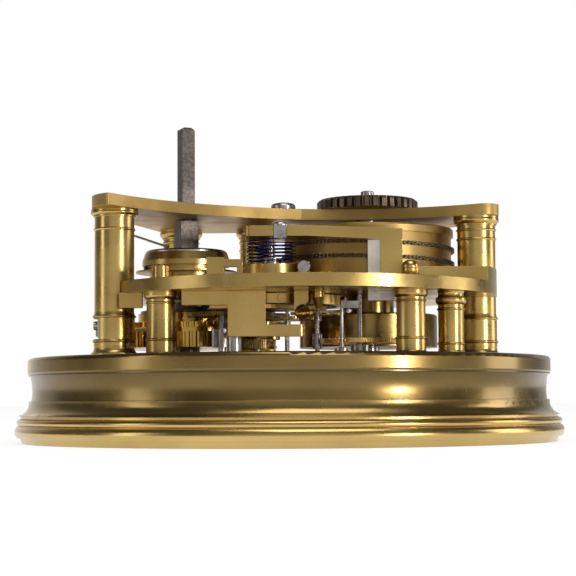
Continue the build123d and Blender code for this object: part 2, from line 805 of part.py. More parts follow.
# Fusee: base bands, a thin disc, the chain's neck, a flange and its steel cap, on the winding arbor.
fusee_low = middle_top + 1.0
fusee_disc_base = fusee_low + 2.5
fusee_neck_base = fusee_disc_base + 0.4
fusee_neck_top = fusee_neck_base + 1.1
fusee_cone_top = fusee_neck_top + 3.0
fusee_cap_top = fusee_cone_top + 0.75
arbor_square_top = upper_base - body_clearance
with BuildPart() as fusee_cone:
    add(turned(
        fusee_place,
        (fusee_base_radius - 0.5, fusee_low),
        (fusee_base_radius - 0.5, fusee_low + 0.6),
        (fusee_base_radius, fusee_low + 0.6),
        (fusee_base_radius, fusee_low + 1.1, 0.12),
        (fusee_base_radius - 0.4, fusee_low + 1.1),
        (fusee_base_radius - 0.4, fusee_disc_base),
        (fusee_disc_radius, fusee_disc_base),
        (fusee_disc_radius, fusee_neck_base),
        (fusee_neck_radius, fusee_neck_base),
        (fusee_neck_radius, fusee_neck_top),
        (fusee_radius, fusee_neck_top),
        (fusee_radius, fusee_neck_top + 1.2),
        (fusee_top_radius, fusee_cone_top),
    ))
    add(disc(fusee_place, fusee_low, fusee_cone_top, fusee_arbor_radius), mode=Mode.SUBTRACT)
keep("fusee_cone", fusee_cone.part)

with BuildPart() as fusee_cap:
    add(turned(
        fusee_place,
        (fusee_top_radius - 0.1, fusee_cone_top),
        (fusee_top_radius - 0.1, fusee_cone_top + 0.3),
        (fusee_top_radius - 1.1, fusee_cap_top, 0.12),
    ))
    with BuildSketch(level(fusee_place, fusee_cone_top)):
        Rectangle(fusee_square, fusee_square, rotation=square_turn)
    extrude(amount=fusee_cap_top - fusee_cone_top, mode=Mode.SUBTRACT)
keep("fusee_cap", fusee_cap.part)

with BuildPart() as winding_arbor:
    add(disc(fusee_place, deck - pivot_depth, fusee_cone_top, fusee_arbor_radius))
    add(turned(fusee_place, (great_drum_radius - 0.6, great_drum_top + 0.1),
               (great_drum_radius - 0.6, great_drum_top + 0.6), (5.0, great_drum_top + 0.6),
               (5.0, middle_base - 0.7)))
    with BuildSketch(level(fusee_place, great_base - 0.9)):
        Circle(fusee_arbor_radius + 1.1)
    extrude(amount=0.8)
    with BuildSketch(level(fusee_place, fusee_cone_top)):
        Rectangle(fusee_square, fusee_square, rotation=square_turn)
    extrude(amount=arbor_square_top - fusee_cone_top)
    with BuildSketch(level(fusee_place, arbor_square_top)):
        Circle(fusee_arbor_radius)
    extrude(amount=upper_top + 0.2 - arbor_square_top)
    with BuildSketch(level(fusee_place, upper_top + 0.2)):
        Rectangle(key_square, key_square, rotation=square_turn)
    extrude(amount=key_length - 0.2)
    chamfer(winding_arbor.faces().sort_by(Axis.Z)[-1].edges(), 0.55, 0.9)
keep("winding_arbor", winding_arbor.part)

# First arbor: its long leaves mesh with the great wheel, and its foot carries the cross wheel.
with BuildPart() as first_arbor:
    add(turned(
        first_place,
        (arbor_radius, cross_base),
        (arbor_radius, deck + 0.2),
        (0.9, deck + 0.2),
        (0.9, great_top + 0.3),
        (0.6, bridge_base - 0.15),
        (pivot_radius, bridge_base - 0.15),
        (pivot_radius, bridge_top),
    ))
    add(pinion(first_place, great_base - 0.2, great_top + 0.3, first_leaves, great_module,
               driven_phase(first_place, fusee_place, first_leaves)))
keep("first_arbor", first_arbor.part)
with BuildPart() as cross_wheel:
    add(wheel(first_place, cross_base, cross_thickness, cross_teeth, cross_module,
              driving_phase(first_place, idler_place), arbor_radius))
keep("cross_wheel", cross_wheel.part)
with BuildPart() as first_wheel:
    add(wheel(first_place, first_wheel_base, first_wheel_thickness, first_teeth, first_module,
              driving_phase(first_place, third_place), 0.66))
keep("first_wheel", first_wheel.part)

# Third arbor: a small pinion, the third wheel, and a toothed drum low down.
with BuildPart() as third_arbor:
    add(turned(third_place, (pivot_radius, deck - pivot_depth),
               *arbor_moves(deck - pivot_depth, bridge_top, deck + 0.2, bridge_base - 0.15, arbor_radius)[1:]))
    add(pinion(third_place, first_wheel_base - 0.1, first_wheel_top + 0.05, third_leaves, first_module,
               driven_phase(third_place, first_place, third_leaves)))
keep("third_arbor", third_arbor.part)
drum_base = deck + friction_drum_lift
with BuildPart() as third_wheel:
    add(wheel(third_place, third_wheel_base, third_wheel_thickness, third_teeth, third_module,
              driving_phase(third_place, fourth_place), arbor_radius))
    with BuildSketch(level(third_place, drum_base)):
        with BuildLine():
            Polyline(*tooth_points(friction_drum_teeth, friction_drum_radius - 0.25, friction_drum_radius, 0),
                     close=True)
        make_face()
        Circle(arbor_radius, mode=Mode.SUBTRACT)
    extrude(amount=friction_drum_height)
keep("third_wheel", third_wheel.part)

# Fourth arbor
with BuildPart() as fourth_arbor:
    add(turned(fourth_place, (pivot_radius, deck - pivot_depth),
               *arbor_moves(deck - pivot_depth, bridge_top, deck + 0.2, fourth_wheel_top + 0.3,
                            arbor_radius)[1:]))
    add(pinion(fourth_place, third_wheel_base - 0.2, third_wheel_top + 0.2, fourth_leaves, third_module,
               driven_phase(fourth_place, third_place, fourth_leaves)))
keep("fourth_arbor", fourth_arbor.part)
with BuildPart() as fourth_wheel:
    add(wheel(fourth_place, fourth_wheel_base, fourth_wheel_thickness, fourth_teeth, fourth_module,
              driving_phase(fourth_place, escape_place), arbor_radius))
keep("fourth_wheel", fourth_wheel.part)

# Escape arbor: a tall lower pinion for the seconds wheel, and an upper pinion.
seconds_base = deck + seconds_lift
with BuildPart() as escape_arbor:
    add(turned(escape_place, (pivot_radius, deck - pivot_depth),
               *arbor_moves(deck - pivot_depth, bridge_top, deck + 0.2, bridge_base - 0.15, arbor_radius)[1:]))
    add(pinion(escape_place, seconds_base - 1.0, seconds_base + seconds_thickness + 1.2, seconds_leaves,
               seconds_module, driving_phase(escape_place, seconds_place)))
    add(pinion(escape_place, fourth_wheel_base - 0.2, fourth_wheel_top + 0.2, escape_leaves, fourth_module,
               driven_phase(escape_place, fourth_place, escape_leaves)))
keep("escape_arbor", escape_arbor.part)


def escape_points(teeth, radius, depth, phase):
    """Pointed teeth that lean forward, as on a chronometer's escape wheel."""
    points = []
    for tooth in range(teeth):
        middle = phase + tooth * 360 / teeth
        for reach, lean in ((radius - depth, -8), (radius, 0), (radius - 0.15, 1.8), (radius - depth, 5)):
            angle = radians(middle + lean)
            points.append((reach * cos(angle), reach * sin(angle)))
    return points


with BuildPart() as escape_wheel:
    with BuildSketch(level(escape_place, escape_base)):
        with BuildLine():
            Polyline(*escape_points(escape_teeth, escape_radius, 1.5, 96), close=True)
        make_face()
        Circle(escape_radius - 2.2, mode=Mode.SUBTRACT)
        with PolarLocations(0, 2, 0, 180):
            Rectangle(2 * escape_radius - 4.2, 0.9)
        Circle(1.3)
        Circle(arbor_radius, mode=Mode.SUBTRACT)
    extrude(amount=escape_thickness)
keep("escape_wheel", escape_wheel.part)

# Seconds arbor: it turns once a minute, and carries the seconds hand under the dial.
with BuildPart() as seconds_arbor:
    add(turned(
        seconds_place,
        (arbor_radius - 0.1, seconds_hand_top - hand_thickness),
        (arbor_radius - 0.1, seconds_hand_top),
        (arbor_radius, seconds_hand_top),
        (arbor_radius, deck + 0.25),
        (2.0, deck + 0.25),
        (2.0, seconds_base - 0.3),
        (arbor_radius, seconds_base - 0.3),
        (arbor_radius, middle_base - 0.15),
        (pivot_radius, middle_base - 0.15),
        (pivot_radius, middle_base + pivot_depth),
    ))
keep("seconds_arbor", seconds_arbor.part)
with BuildPart() as seconds_wheel:
    add(wheel(seconds_place, seconds_base, seconds_thickness, seconds_teeth, seconds_module,
              driven_phase(seconds_place, escape_place, seconds_teeth), arbor_radius, arms=6))
keep("seconds_wheel", seconds_wheel.part)

# Balance: a two-armed wheel whose rim is cut through near each arm, with weights and timing screws.
rim_outer = balance_radius
rim_inner = balance_radius - balance_rim_width
balance_turn = 20
with BuildPart() as balance_wheel:
    with BuildSketch(level(balance_place, rim_base)):
        Circle(rim_outer)
        Circle(rim_inner, mode=Mode.SUBTRACT)
        with Locations(Rot(0, 0, balance_turn + 16)):
            Rectangle(2 * rim_outer + 2, 0.6, mode=Mode.SUBTRACT)
    extrude(amount=balance_rim_height)
    with BuildSketch(level(balance_place, rim_base + 0.3)):
        Rectangle(2 * rim_outer - balance_rim_width, balance_arm_width, rotation=balance_turn)
        Circle(balance_hub_radius)
        Circle(staff_radius, mode=Mode.SUBTRACT)
    extrude(amount=1.1)
keep("balance_wheel", balance_wheel.part)

# Timing weights clamped on the rim: each is a brass block with a slotted screw head outwards.
weight_proud = 0.6
weight_bearings = (-82, -52, -18, 50, 98, 128, 162, 230)
with BuildPart() as balance_weights:
    for bearing in weight_bearings:
        inner = step(balance_place, rim_outer, bearing)
        with BuildSketch(Plane(origin=(inner[0], inner[1], rim_base + balance_rim_height / 2),
                               x_dir=(0, 0, 1), z_dir=(cos(radians(bearing)), sin(radians(bearing)), 0))):
            Circle(balance_rim_height / 2 - 0.1)
        extrude(amount=weight_proud)
keep("balance_weights", balance_weights.part)

# Balance staff: pivots in the potence and in the cock, with the impulse roller and the spring's collet.
collet_radius = spring_radius - spring_wire / 2 - 2.9
with BuildPart() as balance_staff:
    add(turned(
        balance_place,
        (staff_pivot, arm_base + 0.3),
        (staff_pivot, arm_top + 0.15),
        (staff_radius, arm_top + 0.15),
        (staff_radius, escape_base),
        (roller_radius, escape_base),
        (roller_radius, escape_base + escape_thickness),
        (staff_radius, escape_base + escape_thickness),
        (staff_radius, boss_top + body_clearance),
        (collet_radius, boss_top + body_clearance),
        (collet_radius, boss_top + body_clearance + 1.2),
        (staff_radius, boss_top + body_clearance + 1.2),
        (staff_radius, cock_base - 0.15),
        (staff_pivot, cock_base - 0.15),
        (staff_pivot, cock_base + 1.5),
    ))
keep("balance_staff", balance_staff.part)


def coil_point(place, radius, base, pitch, start, angle):
    """A point on a coil's centre line, at an angle from its lower end; a negative angle winds clockwise."""
    turn = radians(start + angle)
    return Vector(place[0] + radius * cos(turn), place[1] + radius * sin(turn), base + pitch * abs(angle) / 360)


def coil_way(radius, pitch, start, angle, sense):
    """The unit direction of a coil at an angle from its lower end; sense is 1 or -1."""
    turn = radians(start + angle)
    return Vector(-sense * radius * sin(turn), sense * radius * cos(turn), pitch / (2 * pi)).normalized()


def coil_arcs(place, radius, base, pitch, start, turns, sense):
    """Add a coil to the open line, as two tangent arcs for each quarter turn."""
    for quarter in range(round(turns * 4)):
        low = sense * 90 * quarter
        high = sense * 90 * (quarter + 1)
        low_point = coil_point(place, radius, base, pitch, start, low)
        high_point = coil_point(place, radius, base, pitch, start, high)
        low_way = coil_way(radius, pitch, start, low, sense)
        high_way = coil_way(radius, pitch, start, high, sense)
        span = high_point - low_point
        square = 2 * (1 - low_way.dot(high_way))
        across = span.dot(low_way + high_way)
        reach = (sqrt(across ** 2 + square * span.dot(span)) - across) / square
        corner = low_point + low_way * reach
        joint = (corner + high_point - high_way * reach) / 2
        TangentArc(low_point, joint, tangent=low_way)
        TangentArc(joint, high_point, tangent=joint - corner)


# Balance spring: one helical tube of blued steel wire.
spring_start = 110
spring_foot = coil_point(balance_place, spring_radius, spring_base, spring_pitch, spring_start, 0)
with BuildPart() as balance_spring:
    with BuildLine():
        coil_arcs(balance_place, spring_radius, spring_base, spring_pitch, spring_start, spring_turns, 1)
    spring_way = coil_way(spring_radius, spring_pitch, spring_start, 0, 1)
    with BuildSketch(Plane(origin=spring_foot, z_dir=spring_way)):
        Circle(spring_wire / 2)
    sweep()
keep("balance_spring", balance_spring.part)
spring_points = [
    coil_point(balance_place, spring_radius, spring_base, spring_pitch, spring_start, 5 * index)
    for index in range(round(72 * spring_turns) + 1)
]
spring_gap = min(
    (one - other).length - spring_wire
    for index, one in enumerate(spring_points)
    for other in spring_points[index + 36:]
)
print(f"balance spring: {spring_turns} turns, least gap to itself {spring_gap:.2f} mm")
print(f"spring volume {balance_spring.part.volume:.3f}, section times length "
      f"{pi * (spring_wire / 2) ** 2 * hypot(2 * pi * spring_radius, spring_pitch) * spring_turns:.3f} mm3")

# Boss under the balance spring, with a lug whose steel screw faces the front
lug_left = balance_place[0] + 5.9
lug_front = balance_place[1] - 5.6
lug_width = 2.6
boss_screw_centre = (lug_left + lug_width / 2, lug_front, middle_top + 3.5)
with BuildPart() as balance_boss:
    add(disc(balance_place, middle_top, boss_top, boss_radius))
    add(block((lug_left, lug_front, middle_top), (lug_left + lug_width, balance_place[1], middle_top + 4.7)))
    add(disc(balance_place, middle_top, boss_top, staff_radius + 1.2), mode=Mode.SUBTRACT)
    with BuildSketch(Plane(origin=boss_screw_centre, x_dir=(1, 0, 0), z_dir=(0, -1, 0))):
        Circle(0.8)
    extrude(amount=-2.0, mode=Mode.SUBTRACT)
keep("balance_boss", balance_boss.part)
with BuildPart() as boss_screw:
    with BuildSketch(Plane(origin=boss_screw_centre, x_dir=(1, 0, 0), z_dir=(0, -1, 0))):
        Circle(1.5)
    extrude(amount=1.1)
    chamfer(boss_screw.faces().sort_by(Axis.Y)[0].edges(), 0.2)
    with BuildSketch(Plane(origin=boss_screw_centre, x_dir=(1, 0, 0), z_dir=(0, -1, 0))):
        Circle(0.8)
    extrude(amount=-1.9)
    slot_face = (boss_screw_centre[0], boss_screw_centre[1] - 1.1, boss_screw_centre[2])
    with BuildSketch(Plane(origin=slot_face, x_dir=(1, 0, 0), z_dir=(0, -1, 0))):
        Rectangle(4.0, 0.42, rotation=42)
    extrude(amount=-0.5, mode=Mode.SUBTRACT)

# Balance cock: an arm over the spring and a leg that stands on the middle plate.
cock_back = cock_front + cock_depth
leg_left = cock_right - cock_leg_width
stud_width = 2.8
stud_middle = balance_place[0] + 2.05
stud_back = balance_place[1] - spring_radius - spring_wire / 2 - 0.1
stud_play = 0.1
stud_drop = 0.35
with BuildPart() as balance_cock:
    with BuildSketch(level(centre_place, cock_base)) as cock_outline:
        with BuildLine():
            Polyline(
                (cock_left, cock_front),
                (cock_right, cock_front),
                (cock_right, cock_back),
                (balance_place[0] + 12.9, cock_back),
                (balance_place[0] + 4.6, balance_place[1] + 4.0),
                (cock_left + 2.5, balance_place[1] + 4.0),
                (cock_left, balance_place[1] + 1.0),
                close=True,
            )
        make_face()
        fillet(cock_outline.vertices().group_by(Axis.X)[0], 1.2)
        with Locations((stud_middle, (cock_front + stud_back) / 2)):
            Rectangle(stud_width + 2 * stud_play, stud_back - cock_front + 0.2, mode=Mode.SUBTRACT)
        with Locations(balance_place):
            Circle(staff_pivot + running_clearance, mode=Mode.SUBTRACT)
    extrude(amount=cock_thickness)
    add(block((leg_left, cock_front, middle_top), (cock_right, cock_back, cock_base)))
    with BuildSketch(Plane(origin=(0, cock_back, 0), x_dir=(1, 0, 0), z_dir=(0, -1, 0))):
        with BuildLine():
            Polyline((cock_slope_start, cock_base), (leg_left, cock_base), (leg_left, cock_base - cock_drop),
                     close=True)
        make_face()
    extrude(amount=cock_depth)
    with BuildSketch(Plane(origin=(0, cock_back, 0), x_dir=(1, 0, 0), z_dir=(0, -1, 0))):
        with BuildLine():
            Polyline((cock_slope_start, cock_top), (cock_right, cock_top), (cock_right, cock_top - cock_drop),
                     close=True)
        make_face()
    extrude(amount=cock_depth, mode=Mode.SUBTRACT)
keep("balance_cock", balance_cock.part)

# Spring stud: a square steel post in the cock's notch, with a domed head.
with BuildPart() as spring_stud:
    add(block((stud_middle - stud_width / 2, cock_front + stud_play, cock_base - stud_drop),
              (stud_middle + stud_width / 2, stud_back, cock_top)))
    add(turned((stud_middle, (cock_front + stud_back) / 2), (1.9, cock_top), (1.9, cock_top + 0.35),
               (1.5, cock_top + 0.8, 0.06), (0.4, cock_top + 1.05, 0.08)))
keep("spring_stud", spring_stud.part)

# Steady: a polished steel strip beside the cock's leg
with BuildPart() as cock_steady:
    add(block((leg_left - 2.7, cock_front + 1.6, middle_top), (leg_left, cock_back, cock_base - cock_drop)))
keep("cock_steady", cock_steady.part)

# Domed steel cap on the upper plate
upper_cap_place = (-1.2, 5.0)
with BuildPart() as upper_cap:
    add(turned(upper_cap_place, (2.9, upper_top), (2.9, upper_top + 1.5), (2.3, upper_top + 2.1, 0.1),
               (0.5, upper_top + 2.4, 0.05)))
keep("upper_cap", upper_cap.part)

# Two brass posts on the middle plate; the right one has a ball head.
side_post_place = (-27.0, -34.6)
ball_post_place = (26.3, -24.8)
post_radius = 1.75
ball_post_height = 4.5
with BuildPart() as brass_posts:
    add(turned(side_post_place, (post_radius, middle_top), (post_radius, middle_top + 2.6),
               (post_radius - 0.4, middle_top + 3.0)))
    add(turned(ball_post_place, (post_radius - 0.3, middle_top), (post_radius - 0.3, middle_top + 1.2),
               (post_radius, middle_top + 2.6, 0.12), (0.3, middle_top + ball_post_height, 0.62)))
keep("brass_posts", brass_posts.part)

# Lug under the middle plate for the index screw, which is set aslant in its cut corner
index_lug_base = middle_base - 4.2
index_screw_radius = 0.7
index_screw_grip = 1.6
index_plane = Plane(origin=(2.6, -33.6, index_lug_base), x_dir=(1, 0, 0.42 / 0.55), z_dir=(0.42, -0.72, -0.55))
with BuildPart() as index_lug:
    add(block((1.1, -34.2, index_lug_base), (4.1, -31.9, middle_base)))
    split(bisect_by=index_plane, keep=Keep.BOTTOM)
    with BuildSketch(index_plane):
        Circle(index_screw_radius)
    extrude(amount=-index_screw_grip, mode=Mode.SUBTRACT)

# Brass blocks screwed to the plates
block_height = 3.2
stop_pivot = (-37.0, -12.0, upper_base - 3.9)
stop_pin_radius = 0.5
point_foot_place = (6.2, -29.9)
with BuildPart() as plate_blocks:
    add(block((-36.2, -30.2, middle_base - block_height), (-31.3, -28.0, middle_base)))
    add(block((-17.7, -27.2, middle_top), (-13.9, -24.2, middle_top + 5.1)))
    add(block((-13.9, -26.6, middle_top + 3.1), (-9.9, -24.2, middle_top + 4.7)))
    add(block((-11.2, -26.6, middle_top), (-9.9, -24.2, middle_top + 3.1)))
    add(index_lug.part)
    with BuildSketch(level(centre_place, middle_top)):
        with BuildLine():
            Polyline((28.3, -23), (48, -23), (48, -12), (34, -12), (28.3, -17), close=True)
        make_face()
        with Locations(middle_centre):
            Circle(middle_radius, mode=Mode.INTERSECT)
    extrude(amount=block_height)
    add(turned(point_foot_place, (0.55, middle_base - 3.5), (1.45, middle_base - 1.1), (1.45, middle_base)))
    add(block((stop_pivot[0] - 2.2, stop_pivot[1] - 1.8, stop_pivot[2] - 1.2),
              (stop_pivot[0] - 0.2, stop_pivot[1] + 1.8, upper_base)))
    with BuildSketch(Plane(origin=(stop_pivot[0] - 0.2, stop_pivot[1], stop_pivot[2]), x_dir=(0, 1, 0),
                           z_dir=(1, 0, 0))):
        Circle(stop_pin_radius)
    extrude(amount=1.5)
keep("plate_blocks", plate_blocks.part)

# Stop arm: it hangs from its bracket beside the fusee, and the last turn of chain lifts it.
stop_tip = (fusee_place[0] - 4.0, fusee_place[1] - 2.2, fusee_cap_top + 0.75)
stop_boss_middle = (stop_pivot[0] + 0.55, stop_pivot[1], stop_pivot[2])
stop_way = Vector(*stop_tip) - Vector(*stop_boss_middle)
with BuildPart() as stop_arm:
    with BuildSketch(Plane(origin=stop_boss_middle, x_dir=(0, 1, 0), z_dir=(1, 0, 0))):
        Circle(1.2)
    extrude(amount=0.5, both=True)
    with BuildSketch(Plane(origin=stop_boss_middle, x_dir=stop_way.cross(Vector(0, 0, 1)), z_dir=stop_way)):
        Rectangle(0.6, 0.4)
    extrude(amount=stop_way.length)
    with BuildSketch(Plane(origin=stop_boss_middle, x_dir=(0, 1, 0), z_dir=(1, 0, 0))):
        Circle(stop_pin_radius + running_clearance)
    extrude(amount=1.0, both=True, mode=Mode.SUBTRACT)
keep("stop_arm", stop_arm.part)

# Index screw: brass, with a slot across its head
index_head_height = 1.1
with BuildPart() as index_screw:
    with BuildSketch(index_plane):
        Circle(index_screw_radius)
    extrude(amount=-index_screw_grip)
    with BuildSketch(index_plane):
        Circle(1.6)
    extrude(amount=index_head_height)
    with BuildSketch(index_plane.offset(index_head_height)):
        Rectangle(4.0, 0.5, rotation=-40)
    extrude(amount=-0.5, mode=Mode.SUBTRACT)
keep("index_screw", index_screw.part)

# Detent: its post and steel head, a steel bar, a short rest post, and the sprung blade at the escape wheel.
detent_post_place = (11.2, -31.6)
detent_pivot = (12.6, -30.6)
rest_post_place = (-11.7, -29.0)
detent_head_base = bridge_base - 0.1
detent_tip = step(escape_place, escape_radius + 0.8, -85)
with BuildPart() as detent_mount:
    add(turned(detent_post_place, (1.6, deck), (1.6, deck + 1.3), (0.4, deck + 1.5), (0.4, detent_head_base)))
    add(block((detent_post_place[0] - 0.1, -32.6, detent_head_base), (14.7, -29.7, middle_base - 2.1)))
    add(disc(detent_pivot, escape_base - 0.2, detent_head_base, 0.3))
    add(block((16.8, -32.0, middle_base - 2.0), (22.2, -29.2, middle_base)))
    add(turned(rest_post_place, (1.6, deck), (1.6, deck + 4.4), (1.35, deck + 4.65)))
keep("detent_mount", detent_mount.part)
with BuildPart() as detent_blade:
    with BuildSketch(level(centre_place, escape_base)):
        blade_length = apart(detent_pivot, detent_tip)
        blade_middle = ((detent_pivot[0] + detent_tip[0]) / 2, (detent_pivot[1] + detent_tip[1]) / 2)
        with Locations(blade_middle):
            Rectangle(blade_length, 0.5, rotation=bearing_to(detent_pivot, detent_tip))
        with Locations(detent_pivot):
            Circle(0.8)
        with Locations(detent_tip):
            Circle(0.45)
        with Locations(detent_pivot):
            Circle(0.3 + running_clearance, mode=Mode.SUBTRACT)
    extrude(amount=escape_thickness)
keep("detent_blade", detent_blade.part)

# Barrel: drum and cover over the middle plate, and a lower drum joined to it by a neck.
barrel_floor = 1.5
cover_base = barrel_top - barrel_cover_height
arbor_bore = barrel_arbor_radius + running_clearance
barrel_inner = barrel_radius - barrel_wall
with BuildPart() as barrel_drum:
    add(disc(barrel_place, barrel_base, cover_base, barrel_radius, arbor_bore))
    add(disc(barrel_place, barrel_base + barrel_floor, cover_base, barrel_inner), mode=Mode.SUBTRACT)
keep("barrel_drum", barrel_drum.part)
with BuildPart() as barrel_cover:
    add(disc(barrel_place, cover_base, barrel_top, barrel_cover_radius, arbor_bore))
    chamfer(barrel_cover.edges().group_by(Axis.Z)[-1].sort_by(SortBy.RADIUS)[-1], 0.35)
keep("barrel_cover", barrel_cover.part)
with BuildPart() as lower_drum:
    add(disc(barrel_place, lower_drum_base, lower_drum_top, lower_drum_radius, arbor_bore))
    chamfer(lower_drum.edges().group_by(Axis.Z)[-1].sort_by(SortBy.RADIUS)[-1], 0.3)
    add(disc(barrel_place, lower_drum_top, barrel_base, drum_neck_radius, arbor_bore))
keep("lower_drum", lower_drum.part)
with BuildPart() as barrel_arbor:
    add(turned(
        barrel_place,
        (fusee_arbor_radius, deck - pivot_depth),
        (fusee_arbor_radius, deck),
        (barrel_arbor_radius, deck),
        (barrel_arbor_radius, upper_top + set_up_thickness),
        (hub_radius, upper_top + set_up_thickness),
        (hub_radius, upper_top + set_up_thickness + hub_height),
        (hub_radius - 0.3, upper_top + set_up_thickness + hub_height + 0.2),
    ))
keep("barrel_arbor", barrel_arbor.part)

# Mainspring: a flat spiral strip, drawn as half turns about two centres.
spiral_radius = barrel_inner - spring_strip / 2 - 0.1
half_turns = 2 * int((spiral_radius - barrel_arbor_radius - 2.5) / spring_strip_pitch)
strip_base = barrel_base + barrel_floor + 0.4
with BuildPart() as mainspring:
    with BuildSketch(level(barrel_place, strip_base)):
        for half in range(half_turns):
            radius = spiral_radius - half * spring_strip_pitch / 2
            shift = 0 if half % 2 == 0 else spring_strip_pitch / 2
            start = 0 if half % 2 == 0 else 180
            with BuildLine():
                outer = CenterArc((-shift, 0), radius + spring_strip / 2, start, 180)
                inner = CenterArc((-shift, 0), radius - spring_strip / 2, start, 180)
                Line(outer @ 0, inner @ 0)
                Line(outer @ 1, inner @ 1)
            make_face()
    extrude(amount=cover_base - 0.4 - strip_base)
keep("mainspring", mainspring.part)

# Set-up ratchet on the barrel arbor, and its sprung click
with BuildPart() as ratchet_wheel:
    with BuildSketch(level(barrel_place, upper_top)):
        with BuildLine():
            Polyline(*tooth_points(set_up_teeth, set_up_radius - 0.9, set_up_radius, 4, 0.8, 0.5), close=True)
        make_face()
        Circle(barrel_arbor_radius, mode=Mode.SUBTRACT)
    extrude(amount=set_up_thickness)
    add(turned(barrel_place, (set_up_radius + 0.1, upper_top),
               (set_up_radius + 0.1, upper_top + set_up_thickness - set_up_bevel),
               (set_up_radius - set_up_bevel, upper_top + set_up_thickness)), mode=Mode.INTERSECT)
    with BuildSketch(level(barrel_place, upper_top + set_up_thickness)):
        Circle(barrel_arbor_radius + 1.2)
        Circle(barrel_arbor_radius, mode=Mode.SUBTRACT)
    extrude(amount=0.25)
keep("ratchet_wheel", ratchet_wheel.part)

click_place = step(barrel_place, set_up_radius + 3.2, 82)
click_tip = step(barrel_place, set_up_radius + 0.15, 108)
click_thickness = 1.6
with BuildPart() as click:
    with BuildSketch(level(centre_place, upper_top + 0.15)):
        with BuildLine():
            Polyline(
                step(click_place, 1.5, 80),
                (click_tip[0] + 0.2, click_tip[1] + 1.0),
                click_tip,
                step(click_place, 1.5, 250),
                close=True,
            )
        make_face()
        with Locations(click_place):
            Circle(1.7)
            Circle(0.6 + running_clearance, mode=Mode.SUBTRACT)
    extrude(amount=click_thickness)
keep("click", click.part)
with BuildPart() as small_screws:
    add(boss_screw.part)
    add(disc(click_place, upper_top, upper_top + click_thickness + 0.3, 0.6))
    add(disc(click_place, upper_top + click_thickness + 0.3, upper_top + click_thickness + 0.9, 1.3))
keep("small_screws", small_screws.part)

# Chain: round the fusee, straight along the far side, and round the barrel in rising turns.
chain_height = (fusee_neck_base + fusee_neck_top) / 2
chain_reach = chain_gap + chain_thickness / 2
chain_fusee_radius = fusee_neck_radius + chain_reach
chain_barrel_radius = barrel_radius + chain_reach
chain_span = apart(fusee_place, barrel_place)
chain_bearing = bearing_to(fusee_place, barrel_place) + degrees(
    acos((chain_fusee_radius - chain_barrel_radius) / chain_span))
chain_pitch = 3.2
chain_turns = 1.75
chain_wrap = 0.25
with BuildPart() as chain:
    with BuildLine():
        wrap_end = chain_bearing + 360 * chain_wrap
        coil_arcs(fusee_place, chain_fusee_radius, chain_height, 0, wrap_end, chain_wrap, -1)
        fusee_touch = step(fusee_place, chain_fusee_radius, chain_bearing)
        barrel_touch = step(barrel_place, chain_barrel_radius, chain_bearing)
        Line((*fusee_touch, chain_height), (*barrel_touch, chain_height))
        coil_arcs(barrel_place, chain_barrel_radius, chain_height, chain_pitch, chain_bearing, chain_turns, -1)
    chain_start = step(fusee_place, chain_fusee_radius, wrap_end)
    with BuildSketch(Plane(origin=(*chain_start, chain_height), z_dir=coil_way(1, 0, wrap_end, 0, -1))):
        Circle(chain_thickness / 2)
    sweep()
keep("chain", chain.part)

os.makedirs("parts", exist_ok=True)
for name, piece in finished.items():
    export_step(piece, f"parts/{name}.step")
print(f"{len(finished)} nodes written")
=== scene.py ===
# %% [markdown]
# # A table chronometer movement in Blender
# The movement stands dial down on its moulded brass ring. Its plates, pillars, wheels and springs come
# from a CAD model, already in place and at their real size. Our work here is what a camera would see:
# the camera itself, the studio light, and the finishes of old brass and polished steel.

# %% Load the model
import bpy
import bmesh
from math import acos, atan2, cos, pi, radians, sin
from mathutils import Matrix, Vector


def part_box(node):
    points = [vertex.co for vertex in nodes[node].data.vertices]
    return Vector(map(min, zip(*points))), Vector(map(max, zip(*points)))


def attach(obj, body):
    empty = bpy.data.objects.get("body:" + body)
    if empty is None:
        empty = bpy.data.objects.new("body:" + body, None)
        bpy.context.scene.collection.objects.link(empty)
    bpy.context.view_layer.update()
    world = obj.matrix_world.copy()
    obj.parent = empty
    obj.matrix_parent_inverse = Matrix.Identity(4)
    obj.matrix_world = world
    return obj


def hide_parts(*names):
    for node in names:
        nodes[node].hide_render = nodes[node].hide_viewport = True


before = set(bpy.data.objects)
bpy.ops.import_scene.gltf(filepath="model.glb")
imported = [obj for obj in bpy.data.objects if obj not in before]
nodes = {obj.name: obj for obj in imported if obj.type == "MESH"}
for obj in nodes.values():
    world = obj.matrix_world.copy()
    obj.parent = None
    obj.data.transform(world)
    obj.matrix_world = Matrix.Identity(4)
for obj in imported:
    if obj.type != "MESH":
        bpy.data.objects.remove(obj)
mm = 0.001
bpy.context.scene.view_settings.view_transform = "Standard"
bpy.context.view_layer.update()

# %% [markdown]
# ## The camera
# The camera stood low down, close to the plane of the ring's foot, and tilted up a few degrees. We can
# read this from the picture: the plates' undersides show, and the ring's lower edge curves down only
# a little. The distance can't be read as surely, so 0.38 m is assumed, and the lens and the height
# are fitted to it. The tilt and the small roll are in degrees.

# %% Place the camera
camera_data = bpy.data.cameras.new("camera")
camera = bpy.data.objects.new("camera", camera_data)
bpy.context.scene.collection.objects.link(camera)
bpy.context.scene.camera = camera
camera_data.sensor_width = 36
camera_data.lens = 102.8
camera_data.clip_start = 0.01
camera_distance = 380 * mm
camera_height = 9.4 * mm
camera_side = -0.3 * mm
camera.location = (camera_side, -camera_distance, camera_height)
tilt_up = 3.9
roll = 0.3
camera.rotation_euler = (radians(90 + tilt_up), radians(roll), 0)
print("lens", camera_data.lens, "mm, tilt", tilt_up, "degrees")

